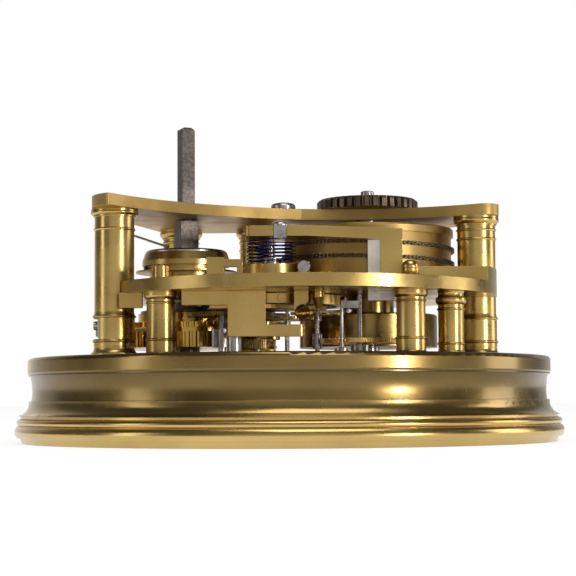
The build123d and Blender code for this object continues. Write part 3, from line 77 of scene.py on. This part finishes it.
# %% [markdown]
# ## The room
# Polished metal has hardly any look of its own: it shows the room. In the photograph the cylinders
# have a mid-toned middle, upright bright streaks, and dark sides. A grey screen in front and a little
# to the right, lamps beside it, dark sides, and a white backdrop behind would give that. This room is
# a guess from the reflections, and the real one may have been different. A world shader that reads
# the direction of a ray makes it, with a ramp from the screen at 0 to the backdrop at 1. The camera
# sees plain white all round. Mirror rays and rays through glass see the graded room instead.

# %% A grey screen in front, dark sides and a white backdrop behind
world = bpy.data.worlds.new("studio")
bpy.context.scene.world = world
world.use_nodes = True
room = world.node_tree
room.nodes.clear()
room_out = room.nodes.new("ShaderNodeOutputWorld")
direction = room.nodes.new("ShaderNodeTexCoord")
front_turn = radians(10)
facing = room.nodes.new("ShaderNodeVectorMath")
facing.operation = "DOT_PRODUCT"
facing.inputs[1].default_value = (-sin(front_turn), cos(front_turn), 0)
room.links.new(direction.outputs["Generated"], facing.inputs[0])
depth_ramp = room.nodes.new("ShaderNodeValToRGB")
depth_ramp.color_ramp.interpolation = "EASE"
room_tones = [(0.0, 0.50), (0.05, 0.42), (0.14, 0.10), (0.5, 0.05), (0.78, 0.09), (0.92, 0.5),
              (1.0, 0.95)]
warm_green, warm_blue = 0.98, 0.94
stops = depth_ramp.color_ramp.elements
for position, tone in room_tones[1:-1]:
    stops.new(position)
for stop, (position, tone) in zip(stops, room_tones):
    stop.position = position
    stop.color = (tone, tone * warm_green, tone * warm_blue, 1)
depth_range = room.nodes.new("ShaderNodeMapRange")
depth_range.inputs["From Min"].default_value = -1
depth_range.inputs["From Max"].default_value = 1
room.links.new(facing.outputs["Value"], depth_range.inputs["Value"])
room.links.new(depth_range.outputs["Result"], depth_ramp.inputs["Fac"])

# %% Choose what each kind of ray sees
seen = room.nodes.new("ShaderNodeBackground")
seen.inputs["Color"].default_value = (1, 1, 1, 1)
mirrored = room.nodes.new("ShaderNodeBackground")
room.links.new(depth_ramp.outputs["Color"], mirrored.inputs["Color"])
fill = room.nodes.new("ShaderNodeBackground")
fill_tone = 0.95
fill.inputs["Color"].default_value = (fill_tone, fill_tone, fill_tone, 1)
ray = room.nodes.new("ShaderNodeLightPath")
shiny_ray = room.nodes.new("ShaderNodeMath")
shiny_ray.operation = "MAXIMUM"
room.links.new(ray.outputs["Is Glossy Ray"], shiny_ray.inputs[0])
room.links.new(ray.outputs["Is Transmission Ray"], shiny_ray.inputs[1])
fill_or_mirror = room.nodes.new("ShaderNodeMixShader")
room.links.new(shiny_ray.outputs[0], fill_or_mirror.inputs[0])
room.links.new(fill.outputs[0], fill_or_mirror.inputs[1])
room.links.new(mirrored.outputs[0], fill_or_mirror.inputs[2])
all_rays = room.nodes.new("ShaderNodeMixShader")
room.links.new(ray.outputs["Is Camera Ray"], all_rays.inputs[0])
room.links.new(fill_or_mirror.outputs[0], all_rays.inputs[1])
room.links.new(seen.outputs[0], all_rays.inputs[2])
room.links.new(all_rays.outputs[0], room_out.inputs[0])
print("world nodes", len(room.nodes))

# %% [markdown]
# ## The floor
# The floor is one broad pale sheet. It keeps a faint shadow under the ring. A mix with plain white
# for camera and mirror rays keeps it nearly as pale as the backdrop, so hardly any edge shows where
# the two meet, and the bead at the ring's foot mirrors it bright.

# %% Lay the floor
floor_mesh = bpy.data.meshes.new("floor")
floor_half = 3.0
floor_corners = [(-floor_half, -floor_half, 0), (floor_half, -floor_half, 0),
                 (floor_half, floor_half, 0), (-floor_half, floor_half, 0)]
floor_mesh.from_pydata(floor_corners, [], [(0, 1, 2, 3)])
floor = bpy.data.objects.new("floor", floor_mesh)
bpy.context.scene.collection.objects.link(floor)
floor_paint = bpy.data.materials.new("floor_paint")
floor_paint.use_nodes = True
floor_tree = floor_paint.node_tree
floor_tree.nodes.clear()
floor_out = floor_tree.nodes.new("ShaderNodeOutputMaterial")
matt = floor_tree.nodes.new("ShaderNodeBsdfDiffuse")
floor_tone = 0.86
matt.inputs["Color"].default_value = (floor_tone, floor_tone, floor_tone, 1)
white = floor_tree.nodes.new("ShaderNodeEmission")
floor_ray = floor_tree.nodes.new("ShaderNodeLightPath")
share = floor_tree.nodes.new("ShaderNodeMath")
share.operation = "MULTIPLY"
white_share = 0.8
share.inputs[1].default_value = white_share
floor_mix = floor_tree.nodes.new("ShaderNodeMixShader")
seen_or_mirrored = floor_tree.nodes.new("ShaderNodeMath")
seen_or_mirrored.operation = "MAXIMUM"
floor_tree.links.new(floor_ray.outputs["Is Camera Ray"], seen_or_mirrored.inputs[0])
floor_tree.links.new(floor_ray.outputs["Is Glossy Ray"], seen_or_mirrored.inputs[1])
floor_tree.links.new(seen_or_mirrored.outputs[0], share.inputs[0])
floor_tree.links.new(share.outputs[0], floor_mix.inputs[0])
floor_tree.links.new(matt.outputs[0], floor_mix.inputs[1])
floor_tree.links.new(white.outputs[0], floor_mix.inputs[2])
floor_tree.links.new(floor_mix.outputs[0], floor_out.inputs[0])
floor_mesh.materials.append(floor_paint)

# %% [markdown]
# ## The lamps
# Each lamp is an area light. Where it shows on a cylinder follows from the mirror law: a streak on a
# face that is turned 24 degrees comes from a lamp 48 degrees round. The right lamp is narrow and
# strong, and low, so it shows in the ring and much less in the upper plate. The left one is tall and
# weak. Places and powers were set by comparing renders with the photograph, so they are a guess too.
# A third, well round to the right, lights the right-hand edges, and one overhead the top faces.


# %% Hang four lamps
aim = Vector((0, 0, 0.035))


def area_lamp(name, bearing, height, distance, size, power):
    """An area light round the object at a bearing from the camera side, aimed at the movement."""
    data = bpy.data.lights.new(name, "AREA")
    data.shape = "RECTANGLE"
    data.size, data.size_y = size
    data.energy = power
    lamp = bpy.data.objects.new(name, data)
    bpy.context.scene.collection.objects.link(lamp)
    turn = radians(bearing)
    lamp.location = Vector((distance * sin(turn), -distance * cos(turn), height))
    lamp.rotation_euler = (aim - lamp.location).to_track_quat("-Z", "Y").to_euler()
    print(name, "at", [round(value, 2) for value in lamp.location])


area_lamp("right_lamp", 46, 0.055, 0.9, (0.10, 0.16), 2)
area_lamp("left_lamp", -66, 0.16, 0.9, (0.22, 0.6), 0.8)
area_lamp("side_lamp", 100, 0.16, 0.9, (0.35, 0.6), 1.9)
area_lamp("top_lamp", 20, 0.9, 0.35, (0.6, 0.6), 3)

# %% [markdown]
# ## Finishes
# Each finish starts from one Principled shader. Real metal is never one even colour: it has patches
# of tarnish, a grain from the tool that cut it, and softened edges that catch the light. Noise
# textures in object space, in metres, give all three at a true scale.


# %% Start a finish
def start_finish(name, metallic=1.0):
    """A new material, its node tree and its Principled shader."""
    finish = bpy.data.materials.new(name)
    finish.use_nodes = True
    tree = finish.node_tree
    shader = tree.nodes["Principled BSDF"]
    shader.inputs["Metallic"].default_value = metallic
    return finish, tree, shader


def surface_noise(tree, scale, stretch=(1, 1, 1), detail=3.0):
    """Noise in object space, with the scale along each axis."""
    place = tree.nodes.new("ShaderNodeTexCoord")
    mapping = tree.nodes.new("ShaderNodeMapping")
    mapping.inputs["Scale"].default_value = stretch
    noise = tree.nodes.new("ShaderNodeTexNoise")
    noise.inputs["Scale"].default_value = scale
    noise.inputs["Detail"].default_value = detail
    tree.links.new(place.outputs["Object"], mapping.inputs["Vector"])
    tree.links.new(mapping.outputs["Vector"], noise.inputs["Vector"])
    return noise.outputs["Fac"]


# %% [markdown]
# A tarnish map mixes two colours of the same metal. The mix point is set by a colour ramp, so that
# most of the surface keeps the clean colour and only some patches darken.


# %% Colour, roughness and grain
def two_tone(tree, shader, clean, tarnished, scale, low=0.42, high=0.68):
    """Patches of tarnish over the clean metal."""
    ramp = tree.nodes.new("ShaderNodeValToRGB")
    ramp.color_ramp.elements[0].position = low
    ramp.color_ramp.elements[0].color = (*clean, 1)
    ramp.color_ramp.elements[1].position = high
    ramp.color_ramp.elements[1].color = (*tarnished, 1)
    tree.links.new(surface_noise(tree, scale, detail=5.0), ramp.inputs["Fac"])
    tree.links.new(ramp.outputs["Color"], shader.inputs["Base Color"])
    return ramp


def uneven_roughness(tree, shader, smooth, rough, scale):
    """Roughness that wanders between two values."""
    spread = tree.nodes.new("ShaderNodeMapRange")
    spread.inputs["From Min"].default_value = 0.35
    spread.inputs["From Max"].default_value = 0.7
    spread.inputs["To Min"].default_value = smooth
    spread.inputs["To Max"].default_value = rough
    tree.links.new(surface_noise(tree, scale), spread.inputs["Value"])
    tree.links.new(spread.outputs["Result"], shader.inputs["Roughness"])


def grain(tree, shader, scale, stretch, strength, edge=0.12 * mm):
    """A fine tool grain, on normals that a small bevel has softened at the edges."""
    bevel = tree.nodes.new("ShaderNodeBevel")
    bevel.samples = 4
    bevel.inputs["Radius"].default_value = edge
    bump = tree.nodes.new("ShaderNodeBump")
    bump.inputs["Strength"].default_value = strength
    bump.inputs["Distance"].default_value = 0.05 * mm
    tree.links.new(surface_noise(tree, scale, stretch), bump.inputs["Height"])
    tree.links.new(bevel.outputs["Normal"], bump.inputs["Normal"])
    tree.links.new(bump.outputs["Normal"], shader.inputs["Normal"])


# %% [markdown]
# Some finishes change with the height above the ring's foot, and some lay one colour over another.


# %% Height, and one colour over another
def height_in(tree):
    """The height of the shaded point, in metres."""
    place = tree.nodes.new("ShaderNodeTexCoord")
    axes = tree.nodes.new("ShaderNodeSeparateXYZ")
    tree.links.new(place.outputs["Object"], axes.inputs[0])
    return axes.outputs["Z"]


def multiply_colours(tree, below, above, strength):
    """One colour darkened by another."""
    product = tree.nodes.new("ShaderNodeMix")
    product.data_type = "RGBA"
    product.blend_type = "MULTIPLY"
    product.inputs[0].default_value = strength
    tree.links.new(below, product.inputs[6])
    tree.links.new(above, product.inputs[7])
    return product.outputs[2]


# %% [markdown]
# ### Brass
# The plates and the pillars are a warm, slightly olive yellow. The grain runs round the turned pieces,
# so on them the noise is squeezed along Z.

# %% Polished brass for plates and pillars
clean_brass = (0.60, 0.42, 0.145)
old_brass = (0.40, 0.265, 0.085)
plate_brass, tree, shader = start_finish("polished_plate_brass")
two_tone(tree, shader, clean_brass, old_brass, 45)
uneven_roughness(tree, shader, 0.24, 0.36, 180)
grain(tree, shader, 2600, (1, 0.25, 1), 0.025)

turned_brass, tree, shader = start_finish("turned_brass")
two_tone(tree, shader, clean_brass, old_brass, 60)
uneven_roughness(tree, shader, 0.24, 0.36, 160)
grain(tree, shader, 260, (1, 1, 14), 0.12)
print("brass", clean_brass, "tarnished", old_brass)

# %% [markdown]
# The upper plate and the barrel look duller than the rest: their shine is a broad soft sheen.

# %% Duller brass for the upper plate and the barrel
dull_brass, tree, shader = start_finish("dulled_plate_brass")
two_tone(tree, shader, (0.50, 0.33, 0.11), (0.33, 0.21, 0.064), 50)
uneven_roughness(tree, shader, 0.40, 0.52, 180)
grain(tree, shader, 2600, (1, 0.25, 1), 0.025)

# %% [markdown]
# The bezel ring is duller and browner than the plates, with broad cloudy patches. In the picture its
# bead is the brightest part and its hollow the darkest. One picture can't tell how much of that is
# the metal and how much is the light, and the colour paints it all in three plain tones, one to each
# form: clean brass on the bead as a painted highlight, a browner one on the flare and the band, and a
# deep one in the hollow under the band as painted shade. A thin clear coat makes the highlights paler.
# Heights are in millimetres, from the CAD model.

# %% Ring brass, with a painted highlight on the bead and painted shade in the hollow
bead_top, flare_top, hollow_top, band_low, ring_top = 5.4, 9.4, 15.3, 15.8, 19.0
# The band tone is the ring's own colour. The hollow tone is painted shade under the band, and the bead's
# clean brass is a painted highlight.
band_tone = tuple(value * 2 / 3 for value in old_brass)
hollow_painted_shade = tuple(value / 3 for value in old_brass)
ring_tones_painted_light = [(bead_top, clean_brass), (flare_top, band_tone), (hollow_top, hollow_painted_shade),
              (band_low, band_tone), (ring_top, band_tone)]
ring_brass, tree, shader = start_finish("ring_brass_painted_light")
ring_height = tree.nodes.new("ShaderNodeMapRange")
ring_height.inputs["From Max"].default_value = ring_top * mm
ring_painted_light_ramp = tree.nodes.new("ShaderNodeValToRGB")
for _ in ring_tones_painted_light[1:-1]:
    ring_painted_light_ramp.color_ramp.elements.new(0.5)
for stop, (rise, tone) in zip(ring_painted_light_ramp.color_ramp.elements, ring_tones_painted_light):
    stop.position = rise / ring_top
    stop.color = (*tone, 1)
tree.links.new(height_in(tree), ring_height.inputs["Value"])
tree.links.new(ring_height.outputs["Result"], ring_painted_light_ramp.inputs["Fac"])
clouds = two_tone(tree, shader, (1.08, 1.08, 1.08), (0.82, 0.8, 0.76), 38, 0.35, 0.72)
clouded = multiply_colours(tree, ring_painted_light_ramp.outputs["Color"], clouds.outputs["Color"], 1.0)
tree.links.new(clouded, shader.inputs["Base Color"])
uneven_roughness(tree, shader, 0.22, 0.31, 90)
shader.inputs["Coat Weight"].default_value = 0.3
shader.inputs["Coat Roughness"].default_value = 0.09
grain(tree, shader, 240, (1, 1, 12), 0.08, 0.2 * mm)

# %% [markdown]
# Train wheels are cut from hammered brass and grained flat, a shade paler than the plates.

# %% Grained brass for the wheels
wheel_brass, tree, shader = start_finish("grained_wheel_brass")
two_tone(tree, shader, (0.78, 0.56, 0.22), (0.5, 0.32, 0.1), 120)
uneven_roughness(tree, shader, 0.2, 0.36, 300)
grain(tree, shader, 1500, (1, 0.2, 1), 0.15, 0.05 * mm)

# %% [markdown]
# The great wheel under the fusee looks polished: its rim and teeth are the yellowest thing low down.

# %% Hard polish for the great wheel
bright_brass, tree, shader = start_finish("hard_polished_brass")
two_tone(tree, shader, (0.66, 0.43, 0.10), (0.46, 0.28, 0.06), 90)
uneven_roughness(tree, shader, 0.12, 0.2, 200)
grain(tree, shader, 1500, (1, 0.2, 1), 0.05, 0.05 * mm)

# %% [markdown]
# The balance is bimetallic: brass fused round a steel band. One finish can serve the whole wheel. It
# measures how far a point lies from the balance staff, and changes from steel to brass in the rim.

# %% Brass outside and steel inside for the balance
bimetal, tree, shader = start_finish("balance_bimetal")
staff_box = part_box("balance_staff")
from_staff = tree.nodes.new("ShaderNodeMapping")
staff_x = (staff_box[0][0] + staff_box[1][0]) / 2
staff_y = (staff_box[0][1] + staff_box[1][1]) / 2
from_staff.inputs["Location"].default_value = (-staff_x, -staff_y, 0)
from_staff.inputs["Scale"].default_value = (1, 1, 0)
wheel_point = tree.nodes.new("ShaderNodeTexCoord")
reach = tree.nodes.new("ShaderNodeVectorMath")
reach.operation = "LENGTH"
tree.links.new(wheel_point.outputs["Object"], from_staff.inputs["Vector"])
tree.links.new(from_staff.outputs["Vector"], reach.inputs[0])
in_brass = tree.nodes.new("ShaderNodeMapRange")
steel_reach, brass_reach = 15.7 * mm, 15.8 * mm
in_brass.inputs["From Min"].default_value = steel_reach
in_brass.inputs["From Max"].default_value = brass_reach
tree.links.new(reach.outputs["Value"], in_brass.inputs["Value"])
metals = tree.nodes.new("ShaderNodeMix")
metals.data_type = "RGBA"
metals.inputs[6].default_value = (0.36, 0.33, 0.33, 1)
rim_brass = two_tone(tree, shader, clean_brass, old_brass, 60)
tree.links.new(rim_brass.outputs["Color"], metals.inputs[7])
tree.links.new(in_brass.outputs["Result"], metals.inputs[0])
tree.links.new(metals.outputs[2], shader.inputs["Base Color"])
uneven_roughness(tree, shader, 0.16, 0.3, 200)
grain(tree, shader, 260, (1, 1, 14), 0.14, 0.06 * mm)

# %% [markdown]
# The drum low down, the bridge and the small wheels sit deep between the plates, where shade falls, and
# their colour is darkened to a browner tone there as painted shade.

# %% Darker brass as painted shade for the pieces deep inside
inner_brass_painted_shade, tree, shader = start_finish("painted_shade_inner_brass")
# Both tones are darker than the plates' brass: painted shade for the pieces deep between the plates.
two_tone(tree, shader, (0.34, 0.235, 0.075), (0.13, 0.08, 0.025), 90, 0.35, 0.65)
uneven_roughness(tree, shader, 0.18, 0.32, 160)
grain(tree, shader, 320, (1, 1, 0.08), 0.2)

# %% [markdown]
# ### Steel
# The arbors and screws are polished steel with a faint warm cast. The strip beside the cock's leg is
# paler than they are. The ratchet and the chain are a dark brown-grey. The balance spring is blue, as
# steel goes when it is heated. The hands, which the photograph doesn't show, get the same finish.

# %% Polished, pale and darkened steel
bright_steel, tree, shader = start_finish("polished_steel")
two_tone(tree, shader, (0.47, 0.44, 0.43), (0.25, 0.21, 0.19), 220)
uneven_roughness(tree, shader, 0.2, 0.4, 400)
grain(tree, shader, 1200, (1, 1, 0.3), 0.2, 0.06 * mm)

pale_steel, tree, shader = start_finish("pale_steel")
two_tone(tree, shader, (0.85, 0.82, 0.74), (0.62, 0.58, 0.5), 150)
uneven_roughness(tree, shader, 0.28, 0.38, 300)
grain(tree, shader, 900, (1, 1, 0.2), 0.12, 0.06 * mm)

dark_steel, tree, shader = start_finish("darkened_steel")
two_tone(tree, shader, (0.185, 0.14, 0.10), (0.09, 0.065, 0.045), 160, 0.3, 0.7)
uneven_roughness(tree, shader, 0.32, 0.55, 300)
grain(tree, shader, 1400, (1, 1, 1), 0.4, 0.08 * mm)

# %% [markdown]
# The winding square is smooth and dark below, and pitted and rough above, perhaps from keys and damp.
# The height sets the roughness and the colour of the two parts.

# %% Worn steel for the winding square
square_steel, tree, shader = start_finish("worn_winding_steel")
smooth_top, pitted_base = 57.5 * mm, 59.5 * mm
up = tree.nodes.new("ShaderNodeMapRange")
up.inputs["From Min"].default_value = smooth_top
up.inputs["From Max"].default_value = pitted_base
tree.links.new(height_in(tree), up.inputs["Value"])
steels = tree.nodes.new("ShaderNodeMix")
steels.data_type = "RGBA"
steels.inputs[6].default_value = (0.15, 0.125, 0.11, 1)
steels.inputs[7].default_value = (0.19, 0.165, 0.15, 1)
tree.links.new(up.outputs["Result"], steels.inputs[0])
speckle = tree.nodes.new("ShaderNodeValToRGB")
speckle.color_ramp.elements[0].position = 0.4
speckle.color_ramp.elements[0].color = (0.35, 0.33, 0.3, 1)
speckle.color_ramp.elements[1].position = 0.6
tree.links.new(surface_noise(tree, 1500, detail=4.0), speckle.inputs["Fac"])
pitted = multiply_colours(tree, steels.outputs[2], speckle.outputs["Color"], 0.6)
tree.links.new(pitted, shader.inputs["Base Color"])
wear = tree.nodes.new("ShaderNodeMapRange")
wear.inputs["To Min"].default_value = 0.38
wear.inputs["To Max"].default_value = 0.55
tree.links.new(up.outputs["Result"], wear.inputs["Value"])
tree.links.new(wear.outputs["Result"], shader.inputs["Roughness"])
grain(tree, shader, 2200, (1, 1, 1), 0.45, 0.08 * mm)

# %% Blued steel
blued_steel, tree, shader = start_finish("blued_spring_steel")
two_tone(tree, shader, (0.02, 0.04, 0.22), (0.03, 0.02, 0.10), 500)
uneven_roughness(tree, shader, 0.14, 0.24, 700)
grain(tree, shader, 3000, (1, 1, 1), 0.05, 0.03 * mm)

# %% [markdown]
# ### Dial and glass
# The photograph shows neither. Such a dial faces down, behind a flat glass in the ring. It is often
# silvered brass, a pale metal with a soft sheen. The glass is clear with a faint green body colour.

# %% Silvered dial, black wax and glass
silver, tree, shader = start_finish("silvered_dial", metallic=0.55)
two_tone(tree, shader, (0.80, 0.79, 0.74), (0.66, 0.63, 0.55), 70)
uneven_roughness(tree, shader, 0.34, 0.5, 250)
grain(tree, shader, 1800, (1, 0.3, 1), 0.12, 0.05 * mm)

black_wax, tree, shader = start_finish("black_wax", metallic=0.0)
two_tone(tree, shader, (0.015, 0.014, 0.013), (0.04, 0.037, 0.034), 900)
uneven_roughness(tree, shader, 0.3, 0.5, 600)

clear_glass, tree, shader = start_finish("clear_glass", metallic=0.0)
shader.inputs["Base Color"].default_value = (0.93, 0.97, 0.95, 1)
shader.inputs["IOR"].default_value = 1.5
shader.inputs["Transmission Weight"].default_value = 1.0
uneven_roughness(tree, shader, 0.0, 0.03, 300)

# %% [markdown]
# ## Which piece has which finish
# A table of node names keeps this in one place. A node that no line names stops the script, so no
# piece is ever left without a finish.

# %% Finish every CAD piece
finishes = {
    ring_brass: "bezel_ring",
    dull_brass: "upper_plate barrel_drum barrel_cover",
    plate_brass: "pillar_plate middle_plate potence train_bridge balance_cock plate_blocks brass_posts",
    turned_brass: "tall_pillar_left tall_pillar_right rear_pillars front_pillars balance_boss "
                  "fusee_cone index_screw balance_weights",
    bright_brass: "great_wheel",
    wheel_brass: "escape_wheel seconds_wheel cross_wheel idler_wheel centre_wheel minute_wheel hour_wheel",
    bimetal: "balance_wheel",
    inner_brass_painted_shade: "lower_drum first_wheel third_wheel fourth_wheel",
    pale_steel: "cock_steady",
    bright_steel: "window_catch plate_screws spring_stud small_screws upper_cap detent_mount "
                  "barrel_arbor fusee_cap first_arbor third_arbor fourth_arbor escape_arbor seconds_arbor "
                  "balance_staff detent_blade click stop_arm",
    square_steel: "winding_arbor",
    dark_steel: "ratchet_wheel chain mainspring",
    blued_steel: "balance_spring hour_hand minute_hand seconds_hand",
    silver: "dial",
    clear_glass: "dial_glass",
}
finish_of = {name: finish for finish, names in finishes.items() for name in names.split()}
for name, node in nodes.items():
    node.data.materials.clear()
    node.data.materials.append(finish_of[name])
print(len(finish_of), "nodes finished")

# %% [markdown]
# ## The fusee chain
# A fusee chain is a tiny chain of flat figure-eight plates on pins that lie along the drum's axis. The
# CAD model has a plain rod in its place. We lay links along the same path: a quarter round the
# fusee's neck, straight along the far side, and nearly two turns round the barrel, each higher than
# the last by the rise.

# %% The chain's path
fusee_place = Vector((-23.6, -2.0)) * mm
barrel_place = Vector((18.5, 3.0)) * mm
chain_fusee_radius = 9.47 * mm
chain_barrel_radius = 19.87 * mm
rod_radius = 0.35 * mm
chain_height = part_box("chain")[0][2] + rod_radius
chain_rise = 3.2 * mm
fusee_turns, barrel_turns = 0.25, 1.75
round_fusee = chain_fusee_radius * fusee_turns * 2 * pi
round_barrel = chain_barrel_radius * barrel_turns * 2 * pi
across = barrel_place - fusee_place
leave = atan2(across.y, across.x) + acos((chain_fusee_radius - chain_barrel_radius) / across.length)
fusee_touch = fusee_place + chain_fusee_radius * Vector((cos(leave), sin(leave)))
barrel_touch = barrel_place + chain_barrel_radius * Vector((cos(leave), sin(leave)))
straight_length = (barrel_touch - fusee_touch).length
print("straight run", round(straight_length / mm, 1), "mm")


def chain_point(distance):
    """Place, direction and outward way on the path, at a distance from the fusee's end."""
    if distance < round_fusee:
        angle = leave + (round_fusee - distance) / chain_fusee_radius
        out = Vector((cos(angle), sin(angle), 0))
        place = fusee_place.to_3d() + chain_fusee_radius * out
        rise = 0
    elif distance < round_fusee + straight_length:
        out = Vector((cos(leave), sin(leave), 0))
        part = (distance - round_fusee) / straight_length
        place = fusee_touch.to_3d().lerp(barrel_touch.to_3d(), part)
        rise = 0
    else:
        turned = (distance - round_fusee - straight_length) / chain_barrel_radius
        angle = leave - turned
        out = Vector((cos(angle), sin(angle), 0))
        place = barrel_place.to_3d() + chain_barrel_radius * out
        rise = chain_rise * turned / (2 * pi)
    place.z = chain_height + rise
    return place, Vector((out.y, -out.x, 0)), out


# %% [markdown]
# Each plate is a small prism with the outline of a figure eight: two round eyes and a waist. Pairs of
# outer plates and single inner plates alternate, with a pin through each joint.


# %% The outlines of a link and a pin
def add_prism(shape, outline, origin, along, out, low, high):
    """A prism with a level outline: along and out are its own axes, low and high its heights."""
    rings = []
    for level in (low, high):
        lifted = origin + Vector((0, 0, level))
        rings.append([shape.verts.new(lifted + along * x + out * y) for x, y in outline])
    shape.faces.new(list(reversed(rings[0])))
    shape.faces.new(rings[1])
    count = len(outline)
    for index in range(count):
        after = (index + 1) % count
        shape.faces.new((rings[0][index], rings[0][after], rings[1][after], rings[1][index]))


link_pitch = 1.0 * mm
eye = 0.34 * mm
waist = 0.2 * mm
pin_radius = 0.13 * mm
pin_reach = 0.46 * mm
outer_plates = ((-0.40 * mm, -0.17 * mm), (0.17 * mm, 0.40 * mm))
inner_plate = ((-0.14 * mm, 0.14 * mm),)
eye_turns = [radians(angle) for angle in (-110, -60, 0, 60, 110)]
eight = [(link_pitch / 2 + eye * cos(turn), eye * sin(turn)) for turn in eye_turns]
eight += [(0, waist)]
eight += [(-link_pitch / 2 - eye * cos(turn), eye * sin(turn)) for turn in reversed(eye_turns)]
eight += [(0, -waist)]
pin_turns = [radians(angle) for angle in range(0, 360, 60)]
pin = [(pin_radius * cos(turn), pin_radius * sin(turn)) for turn in pin_turns]

# %% Lay the links along the path
chain_length = round_fusee + straight_length + round_barrel
link_count = int(chain_length / link_pitch) - 1
links = bmesh.new()
for index in range(link_count):
    middle, along, out = chain_point((index + 0.5) * link_pitch)
    for low, high in (outer_plates if index % 2 == 0 else inner_plate):
        add_prism(links, eight, middle, along, out, low, high)
    joint, along, out = chain_point((index + 1) * link_pitch)
    add_prism(links, pin, joint, along, out, -pin_reach, pin_reach)
bmesh.ops.recalc_face_normals(links, faces=links.faces)
chain_mesh = bpy.data.meshes.new("chain_links")
links.to_mesh(chain_mesh)
links.free()
chain_mesh.materials.append(dark_steel)
chain_links = bpy.data.objects.new("chain_links", chain_mesh)
bpy.context.scene.collection.objects.link(chain_links)
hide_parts("chain")
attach(chain_links, "frame")
print(link_count, "links,", round(chain_length / mm), "mm of chain")

# %% [markdown]
# ## The dial's figures
# The dial can be seen through the glass from below. Its figures are generic: hours in Roman numerals,
# a minute track, and a small seconds circle. Each mark is a thin solid on the dial's lower face, like
# wax that stands a hair proud of the metal. The dial faces down, so everything is laid out in mirror
# image in X, and reads the right way from below. Sizes on the dial are in millimetres.

# %% A place on the dial
dial_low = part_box("dial")[0][2]
wax_height = 0.05 * mm
seconds_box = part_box("seconds_wheel")
seconds_place = (Vector(seconds_box[0][:2]) + Vector(seconds_box[1][:2])) / 2
print("dial face at", round(dial_low / mm, 2), "mm")
print("seconds circle at", [round(value / mm, 1) for value in seconds_place])
dial_centre = Vector((0, 0))
marks = bmesh.new()


def dial_axes(bearing):
    """The way out and the way sideways at a bearing clockwise from twelve."""
    turn = radians(90 + bearing)
    out = Vector((cos(turn), sin(turn), 0))
    return out, Vector((-out.y, out.x, 0))


def dial_mark(centre, near, far, bearing, width):
    """A radial bar between two distances from a centre, at a bearing clockwise from twelve."""
    out, side = dial_axes(bearing)
    middle = centre.to_3d() + Vector((0, 0, dial_low - wax_height))
    half = width * mm / 2
    near, far = near * mm, far * mm
    outline = [(near, -half), (far, -half), (far, half), (near, half)]
    add_prism(marks, outline, middle, out, side, 0, wax_height)


# %% Minute track and seconds circle
def dial_track(centre, near, short, far, thin, thick):
    """Sixty marks round a centre, every fifth one longer and thicker."""
    for index in range(60):
        if index % 5 == 0:
            dial_mark(centre, near, far, index * 6, thick)
        else:
            dial_mark(centre, near, short, index * 6, thin)


dial_track(dial_centre, 45.2, 46.6, 47.6, 0.25, 0.6)
dial_track(seconds_place, 13.4, 14.3, 15.0, 0.15, 0.35)

# %% Circles beside the tracks
bar_count = 120
bar_overlap = 1.02


def dial_ring(centre, radius, width):
    """A thin closed ring drawn as short bars end to end."""
    bar_length = 2 * pi * radius / bar_count * bar_overlap
    for index in range(bar_count):
        bearing = 360 * index / bar_count
        dial_mark(centre, radius - width / 2, radius + width / 2, bearing, bar_length)


for radius in (45.0, 47.8):
    dial_ring(dial_centre, radius, 0.2)
for radius in (13.2, 15.2):
    dial_ring(seconds_place, radius, 0.14)

# %% [markdown]
# Each letter is one or two straight strokes. A stroke has its sideways place at the rim end, its
# place at the centre end, and its width. The seconds circle takes the room of two hours, so a
# numeral too near to it is left out.

# %% Roman hours
numerals = "XII I II III IV V VI VII VIII IX X XI".split()
stroke_gap = 1.75 * mm
numeral_in, numeral_out = 35.5 * mm, 43.0 * mm
numeral_middle = 39 * mm
seconds_room = 19 * mm
slant = 1.35 * mm
upright, heavy, light = 0.95 * mm, 0.9 * mm, 0.35 * mm
letter_widths = {"I": 1.0, "V": 2.4, "X": 2.4}
letter_strokes = {
    "I": [(0, 0, upright)],
    "V": [(-slant, 0, heavy), (slant, 0, light)],
    "X": [(-slant, slant, heavy), (slant, -slant, light)],
}
dial_face = Vector((0, 0, dial_low - wax_height))
for hour, numeral in enumerate(numerals):
    out, side = dial_axes(hour * 30)
    if (seconds_place - out.to_2d() * numeral_middle).length <= seconds_room:
        continue
    offset = -sum(letter_widths[letter] for letter in numeral) / 2
    for letter in numeral:
        place = (offset + letter_widths[letter] / 2) * stroke_gap
        offset += letter_widths[letter]
        for rim_shift, centre_shift, width in letter_strokes[letter]:
            rim_end, centre_end = place + rim_shift, place + centre_shift
            half = width / 2
            outline = [(numeral_in, centre_end - half), (numeral_out, rim_end - half),
                       (numeral_out, rim_end + half), (numeral_in, centre_end + half)]
            add_prism(marks, outline, dial_face, out, side, 0, wax_height)

# %% One object for all the figures
bmesh.ops.recalc_face_normals(marks, faces=marks.faces)
marks_mesh = bpy.data.meshes.new("dial_figures")
marks.to_mesh(marks_mesh)
marks.free()
marks_mesh.materials.append(black_wax)
dial_figures = bpy.data.objects.new("dial_figures", marks_mesh)
bpy.context.scene.collection.objects.link(dial_figures)
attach(dial_figures, "frame")
print(len(marks_mesh.polygons), "faces of dial figures")
